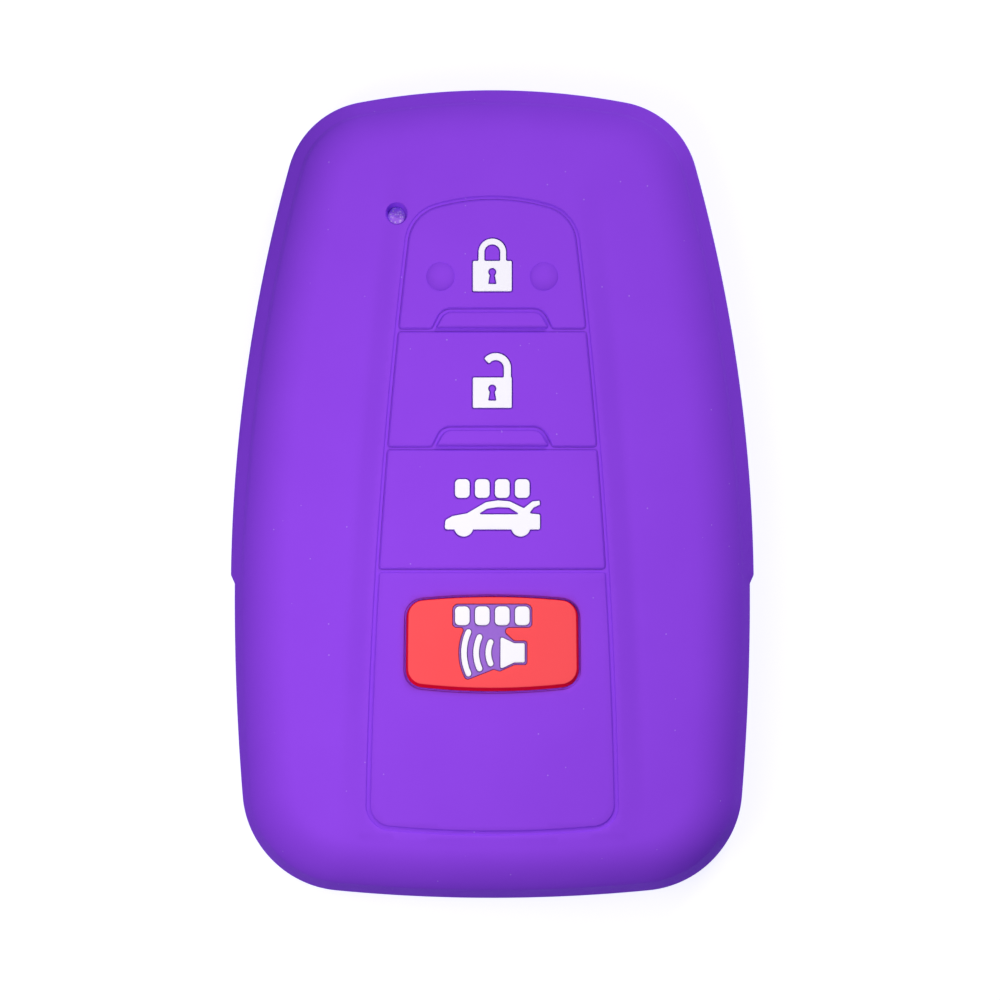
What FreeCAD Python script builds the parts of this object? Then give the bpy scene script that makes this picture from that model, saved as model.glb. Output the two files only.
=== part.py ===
import FreeCAD, Part
import math
import os

# Silicone key fob cover, lying on its back lip with the keys facing up.
# X runs across the cover, Y along it towards the lock key, Z up through its thickness.
# The origin is on the back lip, in the middle of the length and the width. Sizes in millimetres.

# Overall form
cover_length = 80.0
body_width = 51.02
cover_height = 17.3
waist_y = -10.4
side_radius_above = 161.0
side_radius_below = 246.0
top_radius = 72.0
bottom_radius = 165.0
top_corner_radius = 8.4
bottom_corner_radius = 10.8
crown_cross_radius = 110.0
crown_length_radius = 300.0
crown_margin = 5.0
rim_radius = 5.0
rim_inset = 0.5
skirt_drop = 3.9
skirt_width = 0.65
skirt_height = 2.1
back_edge_radius = 3.0
slope_wall_share = 0.7

# Band round the top and the sides
band_proud = 0.4
band_low = 3.4
band_drop = 2.8
band_slope_width = 1.6
band_slope_height = 2.8
band_edge_radius = 0.7
band_end_y = -8.0
band_end_taper = 0.8

# Walls, back lip and mouth
side_wall = 1.8
front_wall = 1.6
lip_thickness = 1.6
lip_width = 5.6
mouth_corner_radius = 6.0
mouth_edge_radius = 0.6
pocket_edge_radius = 1.2

# Raised spine that carries the keys
spine_height = 0.8
spine_end_margin = 7.0
spine_run_out = 2.0
spine_slope_width = 2.6
spine_edge_margin = 0.1
spine_foot_dip = 0.12

# Key panel, measured on the middle line of its groove
panel_width = 24.72
panel_waist_y = -42.1
panel_side_radius = 573.0
panel_top_margin = 10.8
panel_bottom_margin = 6.55
panel_top_radius = 20.0
panel_bottom_radius = 112.0
panel_top_corner_radius = 4.0
panel_bottom_corner_radius = 2.3
groove_width = 0.34
groove_depth = 0.3
key_clearance = 0.06
key_edge_radius = 0.15

# Keys, from the top of the panel down
lock_key_length = 13.04
unlock_key_length = 11.64
trunk_key_length = 12.05

# Thumb tabs at the foot of the lock and unlock keys
tab_length = 1.75
tab_foot_width = 11.4
tab_side_slope = 1.0
tab_corner_radius = 1.2
tab_rise = 0.35

# Low domes beside the lock symbol
dome_radius = 1.3
dome_height = 0.3
dome_spread = 10.2
dome_drop = 1.2

# Light window recess
window_radius = 1.1
window_floor_radius = 0.8
window_depth = 1.1
window_lean = 0.3
window_x = -9.45
window_below_top = 12.3

# Red pad of the panic key
pad_width = 17.1
pad_length = 9.36
pad_side_radius = 400.0
pad_top_radius = 72.0
pad_bottom_radius = 64.0
pad_corner_radius = 1.75
pad_below_trunk_key = 2.56
pad_proud = 0.5
pad_seat = 0.15
pad_edge_radius = 0.3
pad_ring_width = 0.3
pad_ring_depth = 0.4
island_margin = 0.28

# White inlays
symbol_proud = 0.15
symbol_depth = 0.4

# Padlock symbols
padlock_width = 3.84
padlock_height = 3.0
shackle_radius = 1.36
shackle_bar = 0.58
shackle_leg = 0.85
open_shackle_radius = 1.5
open_shackle_bar = 0.7
open_shackle_offset = 0.34
open_shackle_rise = 0.91
open_shackle_end = 145.0
keyhole_radius = 0.4
keyhole_above_foot = 1.9
keyhole_slot_length = 1.18
keyhole_neck = 0.5
keyhole_foot = 0.82
lock_symbol_drop = 2.68
unlock_symbol_drop = 1.84

# Car symbol
car_width = 9.42
car_sill_drop = 1.98
car_roof_height = 2.84
car_wheel_radius = 0.95
car_wheel_spread = 5.62
car_wheel_rise = 0.25

# Marks beside the car and above the speaker
mark_count = 4
mark_width = 1.45
mark_height = 1.86
mark_pitch = 1.97
mark_corner_radius = 0.45
trunk_mark_rise = 2.06
panic_mark_drop = 1.9

# Horn symbol
horn_drop = 5.55
speaker_back = 0.8
speaker_mouth_height = 3.2
speaker_neck = 2.17
speaker_neck_height = 1.9
speaker_end = 3.2
wave_count = 3
wave_centre_x = 2.15
wave_first_radius = 2.54
wave_pitch = 1.2
wave_bar = 0.57
wave_half_angle = 24.5

# Values worked out from the sizes above
vertical = FreeCAD.Vector(0, 0, 1)
body_top_y = cover_length / 2 - band_proud
body_bottom_y = -cover_length / 2
tool_low = cover_height / 2
tool_high = 2 * cover_height
far = cover_length
crown_apex = cover_height - spine_height
spine_half_length = cover_length / 2 - spine_end_margin
spine_length_radius = 1 / (1 / crown_length_radius + 2 * spine_height / spine_half_length ** 2)
panel_top_y = cover_length / 2 - panel_top_margin
panel_bottom_y = body_bottom_y + panel_bottom_margin
lock_foot_y = panel_top_y - lock_key_length
unlock_foot_y = lock_foot_y - unlock_key_length
trunk_foot_y = unlock_foot_y - trunk_key_length
lock_middle_y = panel_top_y - lock_key_length / 2
unlock_middle_y = lock_foot_y - unlock_key_length / 2
trunk_middle_y = unlock_foot_y - trunk_key_length / 2
pad_top_y = trunk_foot_y - pad_below_trunk_key
half_groove = groove_width / 2


# Outlines made of tangent arcs

def point(x, y, z=0.0):
    return FreeCAD.Vector(x, y, z)


def corner_centre(first, second, radius, upward):
    """Centre of the circle of this radius that lies inside two circles and touches both."""
    x1, y1, r1 = first
    x2, y2, r2 = second
    reach1 = r1 - radius
    reach2 = r2 - radius
    span = math.hypot(x2 - x1, y2 - y1)
    along = (reach1 ** 2 - reach2 ** 2 + span ** 2) / (2 * span)
    across = math.sqrt(reach1 ** 2 - along ** 2)
    ux = (x2 - x1) / span
    uy = (y2 - y1) / span
    choices = [(x1 + along * ux - side * across * uy, y1 + along * uy + side * across * ux)
               for side in (1, -1)]
    return max(choices, key=lambda centre: centre[1] * upward)


def touch_point(circle, centre):
    """Point where a circle meets a smaller one that touches it from inside."""
    dx = centre[0] - circle[0]
    dy = centre[1] - circle[1]
    scale = circle[2] / math.hypot(dx, dy)
    return circle[0] + dx * scale, circle[1] + dy * scale


def arc_edge(centre, start, end, z):
    """Arc about a centre from start to end, the short way round."""
    radius = math.hypot(start[0] - centre[0], start[1] - centre[1])
    mx = start[0] + end[0] - 2 * centre[0]
    my = start[1] + end[1] - 2 * centre[1]
    scale = radius / math.hypot(mx, my)
    middle = (centre[0] + mx * scale, centre[1] + my * scale)
    return Part.Arc(point(*start, z), point(*middle, z), point(*end, z)).toShape()


def mirrored(place):
    return -place[0], place[1]


def outline(top, sides, bottom, top_corner, bottom_corner, z):
    """Closed wire, the same left and right, of one top arc, side arcs, a bottom arc and round corners."""
    upper = corner_centre(top, sides[0], top_corner, 1)
    lower = corner_centre(bottom, sides[-1], bottom_corner, -1)
    joints = [touch_point(top, upper), touch_point(sides[0], upper)]
    centres = [upper]
    for side, following in zip(sides, sides[1:]):
        joints.append((side[0] + side[2], following[1]))
        centres.append(side)
    joints.append(touch_point(sides[-1], lower))
    centres.append(sides[-1])
    joints.append(touch_point(bottom, lower))
    centres.append(lower)
    spans = list(zip(centres, joints, joints[1:]))
    edges = [arc_edge(top, mirrored(joints[0]), joints[0], z)]
    edges += [arc_edge(centre, start, end, z) for centre, start, end in spans]
    edges.append(arc_edge(bottom, joints[-1], mirrored(joints[-1]), z))
    edges += [arc_edge(mirrored(centre), mirrored(end), mirrored(start), z)
              for centre, start, end in reversed(spans)]
    return Part.Wire(edges)


def cover_outline(inset, top_corner, bottom_corner, z):
    """Outline of the cover, moved in from the body's edge by inset."""
    half = body_width / 2
    top = (0.0, body_top_y - top_radius, top_radius - inset)
    above = (half - side_radius_above, waist_y, side_radius_above - inset)
    below = (half - side_radius_below, waist_y, side_radius_below - inset)
    bottom = (0.0, body_bottom_y + bottom_radius, bottom_radius - inset)
    return outline(top, [above, below], bottom, top_corner, bottom_corner, z)


def panel_outline(inset, z):
    """Outline of the key panel, moved in from the middle of its groove by inset."""
    top = (0.0, panel_top_y - panel_top_radius, panel_top_radius - inset)
    side = (panel_width / 2 - panel_side_radius, panel_waist_y, panel_side_radius - inset)
    bottom = (0.0, panel_bottom_y + panel_bottom_radius, panel_bottom_radius - inset)
    top_corner = panel_top_corner_radius - inset
    bottom_corner = panel_bottom_corner_radius - inset
    return outline(top, [side], bottom, top_corner, bottom_corner, z)


def pad_outline(grow, z):
    """Outline of the red pad, moved out from its edge by grow."""
    pad_bottom_y = pad_top_y - pad_length
    top = (0.0, pad_top_y - pad_top_radius, pad_top_radius + grow)
    side = (pad_width / 2 - pad_side_radius, pad_bottom_y, pad_side_radius + grow)
    bottom = (0.0, pad_bottom_y + pad_bottom_radius, pad_bottom_radius + grow)
    corner = pad_corner_radius + grow
    return outline(top, [side], bottom, corner, corner, z)


def prism(wire, height):
    return Part.Face(wire).extrude(vertical * height)


def column(wire_maker, *sizes):
    """Upright prism of an outline, tall enough to pass through the front wall."""
    return prism(wire_maker(*sizes, tool_low), tool_high - tool_low)


def polygon_column(places):
    """Upright prism of a straight-sided outline."""
    corners = [point(x, y, tool_low) for x, y in places]
    return prism(Part.makePolygon(corners + corners[:1]), tool_high - tool_low)


def disc_column(x, y, radius):
    return Part.makeCylinder(radius, tool_high - tool_low, point(x, y, tool_low))


def slab(low_y, high_y):
    """Box across the whole cover between two places along it."""
    size_y = high_y - low_y
    return Part.makeBox(2 * far, size_y, tool_high - tool_low, point(-far, low_y, tool_low))


# Crowned surfaces

def crown_drop(radius, distance):
    return radius - math.sqrt(radius ** 2 - distance ** 2)


def crown_z(apex, length_radius, x, y):
    """Height of a barrel surface that curves across the cover and, more gently, along it."""
    reach = length_radius - crown_drop(crown_cross_radius, x)
    return apex - length_radius + math.sqrt(reach ** 2 - y ** 2)


def crown(sink):
    """Solid under the front surface, sunk below it by an even thickness."""
    apex = crown_apex - sink
    cross = crown_cross_radius - sink
    half = body_width / 2 + crown_margin
    edge_z = apex - crown_drop(cross, half)
    floor_z = -cover_height
    arc = Part.Arc(point(-half, 0, edge_z), point(0, 0, apex), point(half, 0, edge_z)).toShape()
    right = Part.makeLine(point(half, 0, edge_z), point(half, 0, floor_z))
    floor = Part.makeLine(point(half, 0, floor_z), point(-half, 0, floor_z))
    left = Part.makeLine(point(-half, 0, floor_z), point(-half, 0, edge_z))
    section = Part.Face(Part.Wire([arc, right, floor, left]))
    axis_place = point(0, 0, crown_apex - crown_length_radius)
    half_turn = math.degrees(math.asin((cover_length / 2 + crown_margin) / crown_length_radius))
    section.rotate(axis_place, point(1, 0, 0), -half_turn)
    return section.revolve(axis_place, point(1, 0, 0), 2 * half_turn)


def panel_half_width(y):
    return panel_width / 2 - crown_drop(panel_side_radius, y - panel_waist_y)


def spine_section(y):
    """Section of the raised spine: a crowned top with a soft slope down to each shoulder."""
    top_half = panel_half_width(y) + half_groove + spine_edge_margin
    foot_half = top_half + spine_slope_width
    apex_z = crown_z(cover_height, spine_length_radius, 0, y)
    edge_z = crown_z(cover_height, spine_length_radius, top_half, y)
    foot_z = crown_z(crown_apex, crown_length_radius, foot_half, y) - spine_foot_dip
    floor_z = tool_low
    third = spine_slope_width / 3
    top_slope = top_half / crown_cross_radius
    foot_slope = foot_half / crown_cross_radius + spine_foot_dip / third

    def slope(side):
        curve = Part.BezierCurve()
        curve.setPoles([point(side * top_half, y, edge_z),
                        point(side * (top_half + third), y, edge_z - third * top_slope),
                        point(side * (foot_half - third), y, foot_z + third * foot_slope),
                        point(side * foot_half, y, foot_z)])
        return curve.toShape()

    arc = Part.Arc(point(-top_half, y, edge_z), point(0, y, apex_z), point(top_half, y, edge_z)).toShape()
    right = Part.makeLine(point(foot_half, y, foot_z), point(foot_half, y, floor_z))
    floor = Part.makeLine(point(foot_half, y, floor_z), point(-foot_half, y, floor_z))
    left = Part.makeLine(point(-foot_half, y, floor_z), point(-foot_half, y, foot_z))
    return Part.Wire([arc, slope(1), right, floor, left, slope(-1)])


def make_spine():
    """Loft of the spine along the cover, sinking into the front at both ends."""
    reach = spine_half_length + spine_run_out
    stations = [-reach, -reach / 2, 0.0, reach / 2, reach]
    return Part.makeLoft([spine_section(y) for y in stations], True, False)


def raised(shape, rise):
    return shape.translated(vertical * rise)


def highest_face(shape):
    return max(shape.Faces, key=lambda face: face.CenterOfMass.z)


def lowest_face(shape):
    return min(shape.Faces, key=lambda face: face.CenterOfMass.z)


# Shell of the cover

def make_blank(inset, drop, low_z):
    """Block of the cover's outline, moved in by inset, from a level up to the crown sunk by drop."""
    wire = cover_outline(inset, top_corner_radius - inset, bottom_corner_radius - inset, low_z)
    return prism(wire, 2 * cover_height).common(crown(drop))


def sloped(blank, width, height):
    """The block with its upper edge cut to a steep slope, this wide and this high where its wall is tall enough."""
    rim = highest_face(blank).OuterWire
    wall_height = rim.BoundBox.ZMin - lowest_face(blank).CenterOfMass.z
    return blank.makeChamfer(min(height, slope_wall_share * wall_height), width, rim.Edges)


def make_outer():
    """A core with a rolled front rim, standing in a skirt with a sloped top and a rounded back edge."""
    core = make_blank(rim_inset, 0.0, back_edge_radius + rim_inset)
    core = core.makeFillet(rim_radius, highest_face(core).OuterWire.Edges)
    skirt = sloped(make_blank(0.0, skirt_drop, 0.0), skirt_width, skirt_height)
    skirt = skirt.makeFillet(back_edge_radius, lowest_face(skirt).OuterWire.Edges)
    return core.fuse(skirt)


def make_band():
    """Low band with a sloped top that stands proud round the top and down both sides, with tapered ends."""
    ring = sloped(make_blank(-band_proud, band_drop, band_low), band_slope_width, band_slope_height)
    ring = ring.makeFillet(band_edge_radius, lowest_face(ring).OuterWire.Edges)
    end_x = body_width / 2 - crown_drop(side_radius_above, band_end_y - waist_y) + band_proud
    outside = (end_x + band_proud, band_end_y + band_end_taper)
    inside = (end_x - band_proud, band_end_y - band_end_taper)
    right = [inside, outside, (far, outside[1]), (far, far)]
    left = [mirrored(place) for place in reversed(right)]
    corners = [point(x, y) for x, y in right + left]
    return ring.common(prism(Part.makePolygon(corners + corners[:1]), cover_height))


def make_pocket():
    """Hollow that holds the fob: the outline and crown moved in by the walls."""
    wire = cover_outline(side_wall, top_corner_radius - side_wall, bottom_corner_radius - side_wall,
                         lip_thickness)
    hollow = prism(wire, 2 * cover_height).common(crown(front_wall))
    hollow = hollow.makeFillet(rim_inset + rim_radius - side_wall, highest_face(hollow).OuterWire.Edges)
    return hollow.makeFillet(pocket_edge_radius, lowest_face(hollow).OuterWire.Edges)


def make_mouth():
    """Opening in the back that the fob goes in by."""
    wire = cover_outline(side_wall + lip_width, mouth_corner_radius, mouth_corner_radius, -lip_thickness)
    return prism(wire, 3 * lip_thickness)


def make_wall(spine):
    """The whole moulding before the key panel is cut in it."""
    wall = make_outer().fuse([make_band(), spine])
    wall = wall.cut(make_pocket())
    wall = wall.cut(make_mouth())
    inner_rim = min(lowest_face(wall).Wires, key=lambda wire: wire.BoundBox.DiagonalLength)
    return wall.makeFillet(mouth_edge_radius, inner_rim.Edges)


# Key blocks: upright prisms that bound each key in the panel

def tab_column(foot_y, grow):
    """Thumb tab outline with round upper corners, moved out on its top and sides by grow."""
    half_foot = tab_foot_width / 2 + grow
    half_head = half_foot - tab_side_slope
    head_y = foot_y + half_groove + tab_length + grow
    block = polygon_column([(-half_foot, foot_y), (half_foot, foot_y),
                            (half_head, head_y), (-half_head, head_y)])
    upper = [edge for edge in block.Edges
             if edge.BoundBox.ZLength > edge.BoundBox.XLength and edge.CenterOfMass.y > foot_y + tab_length / 2]
    block = block.makeFillet(tab_corner_radius + grow, upper)
    return block.common(slab(foot_y + half_groove - grow, panel_top_y))


def key_block(low_y, high_y, tab_foot_y, grow):
    """Part of the panel between two grooves, less the room for a thumb tab, moved out by grow."""
    block = column(panel_outline, half_groove - grow)
    block = block.common(slab(low_y + half_groove - grow, high_y - half_groove + grow))
    if tab_foot_y is not None:
        block = block.cut(tab_column(tab_foot_y, groove_width - grow))
    return block


def key_blocks(grow):
    """Blocks of the three plain keys and of the panic key."""
    return {
        "lock_key": key_block(lock_foot_y, panel_top_y + groove_width, lock_foot_y, grow),
        "unlock_key": key_block(unlock_foot_y, lock_foot_y, unlock_foot_y, grow),
        "trunk_key": key_block(trunk_foot_y, unlock_foot_y, None, grow),
        "panic_key": column(pad_outline, grow),
    }


def make_groove(front):
    """Groove round the panel, between the keys and round the tabs."""
    tool = column(panel_outline, -half_groove)
    lower = key_block(panel_bottom_y - groove_width, trunk_foot_y, None, 0.0)
    tabs = [tab_column(foot_y, 0.0) for foot_y in (lock_foot_y, unlock_foot_y)]
    tool = tool.cut(list(key_blocks(0.0).values()) + tabs + [lower])
    return tool.cut(raised(front, -groove_depth))


def make_pad_ring(front):
    """Deeper groove round the red pad."""
    return column(pad_outline, pad_ring_width).cut(raised(front, -pad_ring_depth))


def make_tab_ramp(spine, foot_y):
    """Top of a thumb tab, tilted about its head so that its foot stands up for the thumb."""
    head_y = foot_y + half_groove + tab_length
    hinge = point(0, head_y, crown_z(cover_height, spine_length_radius, 0, head_y))
    tilted = spine.copy()
    tilted.rotate(hinge, point(1, 0, 0), -math.degrees(math.atan2(tab_rise, tab_length)))
    return tab_column(foot_y, 0.0).common(tilted).cut(raised(spine, -groove_depth))


def make_window():
    """Blind recess over the fob's light: it narrows and leans towards the keys as it goes down."""
    y = cover_length / 2 - window_below_top
    rim_z = crown_z(crown_apex, crown_length_radius, window_x, y)
    narrowing = (window_radius - window_floor_radius) / window_depth
    lean = window_lean / window_depth

    def ring(rise):
        centre = point(window_x, y + lean * rise, rim_z + rise)
        return Part.Wire(Part.makeCircle(window_radius + narrowing * rise, centre))

    return Part.makeLoft([ring(-window_depth), ring(window_depth)], True, True)


def make_dome(x, y):
    """Low round bump, a cap of a sphere."""
    base_z = crown_z(cover_height, spine_length_radius, x, y)
    ball_radius = (dome_radius ** 2 + dome_height ** 2) / (2 * dome_height)
    ball = Part.makeSphere(ball_radius, point(x, y, base_z + dome_height - ball_radius))
    return ball.common(Part.makeCylinder(2 * dome_radius, 2 * dome_height, point(x, y, base_z - dome_height)))


# Outlines of the symbols

def keyhole_column(x, foot_y):
    """Round hole over a flared slot."""
    eye_y = foot_y + keyhole_above_foot
    slot_y = eye_y - keyhole_slot_length
    slot = polygon_column([(x - keyhole_neck / 2, eye_y), (x - keyhole_foot / 2, slot_y),
                           (x + keyhole_foot / 2, slot_y), (x + keyhole_neck / 2, eye_y)])
    return disc_column(x, eye_y, keyhole_radius).fuse(slot)


def padlock_case(foot_y):
    half = padlock_width / 2
    case = polygon_column([(-half, foot_y), (half, foot_y),
                           (half, foot_y + padlock_height), (-half, foot_y + padlock_height)])
    return case.cut(keyhole_column(0.0, foot_y))


def ring_column(x, y, radius, bar):
    return disc_column(x, y, radius).cut(disc_column(x, y, radius - bar))


def closed_padlock(foot_y):
    """Case with a shackle of two legs and a half ring."""
    case_top = foot_y + padlock_height
    bend_y = case_top + shackle_leg
    bow = ring_column(0.0, bend_y, shackle_radius, shackle_bar).common(slab(bend_y, panel_top_y))
    outer = shackle_radius
    inner = shackle_radius - shackle_bar
    legs = [polygon_column([(side * inner, case_top), (side * outer, case_top),
                            (side * outer, bend_y), (side * inner, bend_y)]) for side in (1, -1)]
    return padlock_case(foot_y).fuse([bow] + legs).removeSplitter()


def open_padlock(foot_y):
    """Case with a shackle that has swung clear on one side."""
    case_top = foot_y + padlock_height
    bend_y = case_top + open_shackle_rise
    outer = open_shackle_radius
    inner = outer - open_shackle_bar
    x = open_shackle_offset
    reach = 2 * outer
    end = math.radians(open_shackle_end)
    swing = polygon_column([(x, bend_y), (x + reach, bend_y),
                            (x + reach, bend_y + reach), (x - reach, bend_y + reach),
                            (x + reach * math.cos(end), bend_y + reach * math.sin(end))])
    bow = ring_column(x, bend_y, outer, open_shackle_bar).common(swing)
    leg = polygon_column([(x + inner, case_top), (x + outer, case_top),
                          (x + outer, bend_y), (x + inner, bend_y)])
    return padlock_case(foot_y).fuse([bow, leg]).removeSplitter()


def car_symbol(sill_y):
    """Side view of a saloon car with its boot lid up, in shares of half its width and of its height."""
    nose_foot, nose_bulge, nose_head = (-1.0, 0.0), (-0.955, 0.36), (-0.83, 0.47)
    bonnet_end, screen_head = (-0.53, 0.56), (-0.13, 0.95)
    roof_middle, roof_end = (0.12, 1.0), (0.36, 0.98)
    lid_hinge, lid_crook, lid_root = (0.66, 0.74), (0.66, 0.62), (0.77, 0.56)
    tail_head, tail_foot = (1.0, 0.525), (1.0, 0.0)
    glass_foot, glass_head, glass_middle = (-0.3, 0.525), (-0.11, 0.72), (0.11, 0.77)
    glass_end, glass_tail = (0.35, 0.76), (0.585, 0.525)
    lid_shoulder, lid_tip, lid_end, lid_bend = (0.84, 0.975), (0.99, 1.0), (1.0, 0.86), (0.87, 0.765)

    def place(share):
        return point(share[0] * car_width / 2, sill_y + share[1] * car_roof_height, tool_low)

    def line(start, end):
        return Part.makeLine(place(start), place(end))

    def bow(start, middle, end):
        return Part.Arc(place(start), place(middle), place(end)).toShape()

    shell = [bow(nose_foot, nose_bulge, nose_head), line(nose_head, bonnet_end), line(bonnet_end, screen_head),
             bow(screen_head, roof_middle, roof_end), line(roof_end, lid_hinge), line(lid_hinge, lid_root),
             line(lid_root, tail_head), line(tail_head, tail_foot), line(tail_foot, nose_foot)]
    glass = [line(glass_foot, glass_head), bow(glass_head, glass_middle, glass_end),
             line(glass_end, glass_tail), line(glass_tail, glass_foot)]
    lid_places = [lid_crook, lid_hinge, lid_shoulder, lid_tip, lid_end, lid_bend, lid_root, lid_crook]
    lid = Part.makePolygon([place(share) for share in lid_places])
    height = tool_high - tool_low
    wheels = [disc_column(side * car_wheel_spread / 2, sill_y + car_wheel_rise, car_wheel_radius)
              for side in (1, -1)]
    body = prism(Part.Wire(shell), height).cut(prism(Part.Wire(glass), height))
    return body.fuse(wheels + [prism(lid, height)]).removeSplitter()


def rounded_block(x, y, width, height, radius):
    """Upright block with its four corners rounded."""
    half_x = width / 2
    half_y = height / 2
    block = polygon_column([(x - half_x, y - half_y), (x + half_x, y - half_y),
                            (x + half_x, y + half_y), (x - half_x, y + half_y)])
    corners = [edge for edge in block.Edges if edge.BoundBox.ZLength > height]
    return block.makeFillet(radius, corners)


def mark_places():
    first = -mark_pitch * (mark_count - 1) / 2
    return [first + index * mark_pitch for index in range(mark_count)]


def mark_columns(y):
    return [rounded_block(x, y, mark_width, mark_height, mark_corner_radius) for x in mark_places()]


def speaker_column(y, grow):
    """Loudspeaker seen from the side: a cone on a square magnet, moved out by grow."""
    mouth = speaker_mouth_height / 2 + grow
    neck = speaker_neck_height / 2 + grow
    places = [(speaker_back - grow, mouth), (speaker_neck, neck), (speaker_end + grow, neck)]
    upper = [(x, y + rise) for x, rise in places]
    lower = [(x, y - rise) for x, rise in reversed(places)]
    return polygon_column(upper + lower)


def sector_column(y, radius, half_angle):
    """Slice of a disc about the centre of the waves, opening away from the speaker."""
    reach = 2 * radius
    angle = math.radians(half_angle)
    wedge = polygon_column([(wave_centre_x, y), (wave_centre_x - reach, y + reach * math.tan(angle)),
                            (wave_centre_x - reach, y - reach * math.tan(angle))])
    return disc_column(wave_centre_x, y, radius).common(wedge)


def wave_columns(y):
    """Sound waves: arcs about one centre, each a bar wide, with round ends."""
    waves = []
    for index in range(wave_count):
        radius = wave_first_radius + index * wave_pitch
        wave = sector_column(y, radius + wave_bar / 2, wave_half_angle)
        wave = wave.cut(disc_column(wave_centre_x, y, radius - wave_bar / 2))
        end_x = wave_centre_x - radius * math.cos(math.radians(wave_half_angle))
        rise = radius * math.sin(math.radians(wave_half_angle))
        ends = [disc_column(end_x, y + side * rise, wave_bar / 2) for side in (1, -1)]
        waves.append(wave.fuse(ends).removeSplitter())
    return waves


def island_column(mark_y, horn_y):
    """Gap in the red pad that the marks, the waves and the speaker stand in."""
    row_width = mark_pitch * (mark_count - 1) + mark_width + 2 * island_margin
    row_height = mark_height + 2 * island_margin
    row = rounded_block(0.0, mark_y, row_width, row_height, mark_corner_radius + island_margin)
    outer = wave_first_radius + (wave_count - 1) * wave_pitch + wave_bar / 2 + island_margin
    spread = wave_half_angle + math.degrees((island_margin + wave_bar / 2) / outer)
    fan = sector_column(horn_y, outer, spread)
    return row.fuse([fan, speaker_column(horn_y, island_margin)]).removeSplitter()


# Assembly

os.makedirs("parts", exist_ok=True)
nodes = {}

spine = make_spine()
front = crown(0.0).fuse(spine)
wall = make_wall(spine)


def inlay(shape, top, floor):
    """The part of an upright shape between two levels, measured from the front surface."""
    return shape.common(raised(spine, top)).cut(raised(spine, floor))


def soft_key(block):
    """A key cut out of the wall, with the edge of its top rounded."""
    key = wall.common(block)
    top = max(key.Faces, key=lambda face: face.CenterOfMass.z * (face.normalAt(0.5, 0.5).z > 0.5))
    return key.makeFillet(key_edge_radius, top.OuterWire.Edges)


lock_symbol = closed_padlock(lock_middle_y - lock_symbol_drop)
unlock_symbol = open_padlock(unlock_middle_y - unlock_symbol_drop)
trunk_symbol = car_symbol(trunk_middle_y - car_sill_drop)
trunk_marks = mark_columns(trunk_middle_y + trunk_mark_rise)
panic_mark_y = pad_top_y - panic_mark_drop
horn_y = pad_top_y - horn_drop
horn_pieces = [speaker_column(horn_y, 0.0)] + wave_columns(horn_y) + mark_columns(panic_mark_y)

flush_pieces = [lock_symbol, unlock_symbol, trunk_symbol] + trunk_marks
flush_names = ["lock_symbol", "unlock_symbol", "trunk_symbol"]
flush_names += ["trunk_mark_%d" % (index + 1) for index in range(mark_count)]
for name, piece in zip(flush_names, flush_pieces):
    nodes[name] = inlay(piece, symbol_proud, -symbol_depth)

horn_names = ["horn_speaker"] + ["horn_wave_%d" % (index + 1) for index in range(wave_count)]
horn_names += ["panic_mark_%d" % (index + 1) for index in range(mark_count)]
for name, piece in zip(horn_names, horn_pieces):
    nodes[name] = inlay(piece, pad_proud, -pad_seat - symbol_depth)

blocks = key_blocks(0.0)
domes = [make_dome(side * dome_spread / 2, lock_middle_y - dome_drop) for side in (1, -1)]
nodes["lock_key"] = soft_key(blocks["lock_key"]).fuse(domes).cut(nodes["lock_symbol"])
nodes["unlock_key"] = soft_key(blocks["unlock_key"]).cut(nodes["unlock_symbol"])
nodes["trunk_key"] = soft_key(blocks["trunk_key"])
for name in flush_names[2:]:
    nodes["trunk_key"] = nodes["trunk_key"].cut(nodes[name])
panic_base = wall.common(blocks["panic_key"]).common(raised(spine, -pad_seat))
nodes["panic_key"] = panic_base.cut([nodes[name] for name in horn_names])

pad = inlay(blocks["panic_key"], pad_proud, -pad_seat)
pad = pad.makeFillet(pad_edge_radius, highest_face(pad).OuterWire.Edges)
nodes["panic_pad"] = pad.cut(island_column(panic_mark_y, horn_y))

body = wall.cut([make_groove(front), make_pad_ring(front)])
body = body.cut(list(key_blocks(key_clearance).values()) + [make_window()])
nodes["cover_body"] = body.fuse([make_tab_ramp(spine, foot_y) for foot_y in (lock_foot_y, unlock_foot_y)])

for name, shape in nodes.items():
    shape.exportStep("parts/%s.step" % name)
    box = shape.optimalBoundingBox()
    print("%-16s solids %d  volume %8.2f  x %6.2f %6.2f  y %6.2f %6.2f  z %6.2f %6.2f" % (
        name, len(shape.Solids), shape.Volume, box.XMin, box.XMax, box.YMin, box.YMax, box.ZMin, box.ZMax))
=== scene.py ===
# %% [markdown]
# # A silicone key fob cover, worked out with numpy
# The object is a soft cover that slips over a car key fob. It is one purple moulding with four keys, a red
# pad and white symbols cast into it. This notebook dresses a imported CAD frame. Every piece takes its place
# from the frame and moves with its body, and all but the floor of the light window replace a plain solid.

# %% Load the frame
import math

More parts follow.
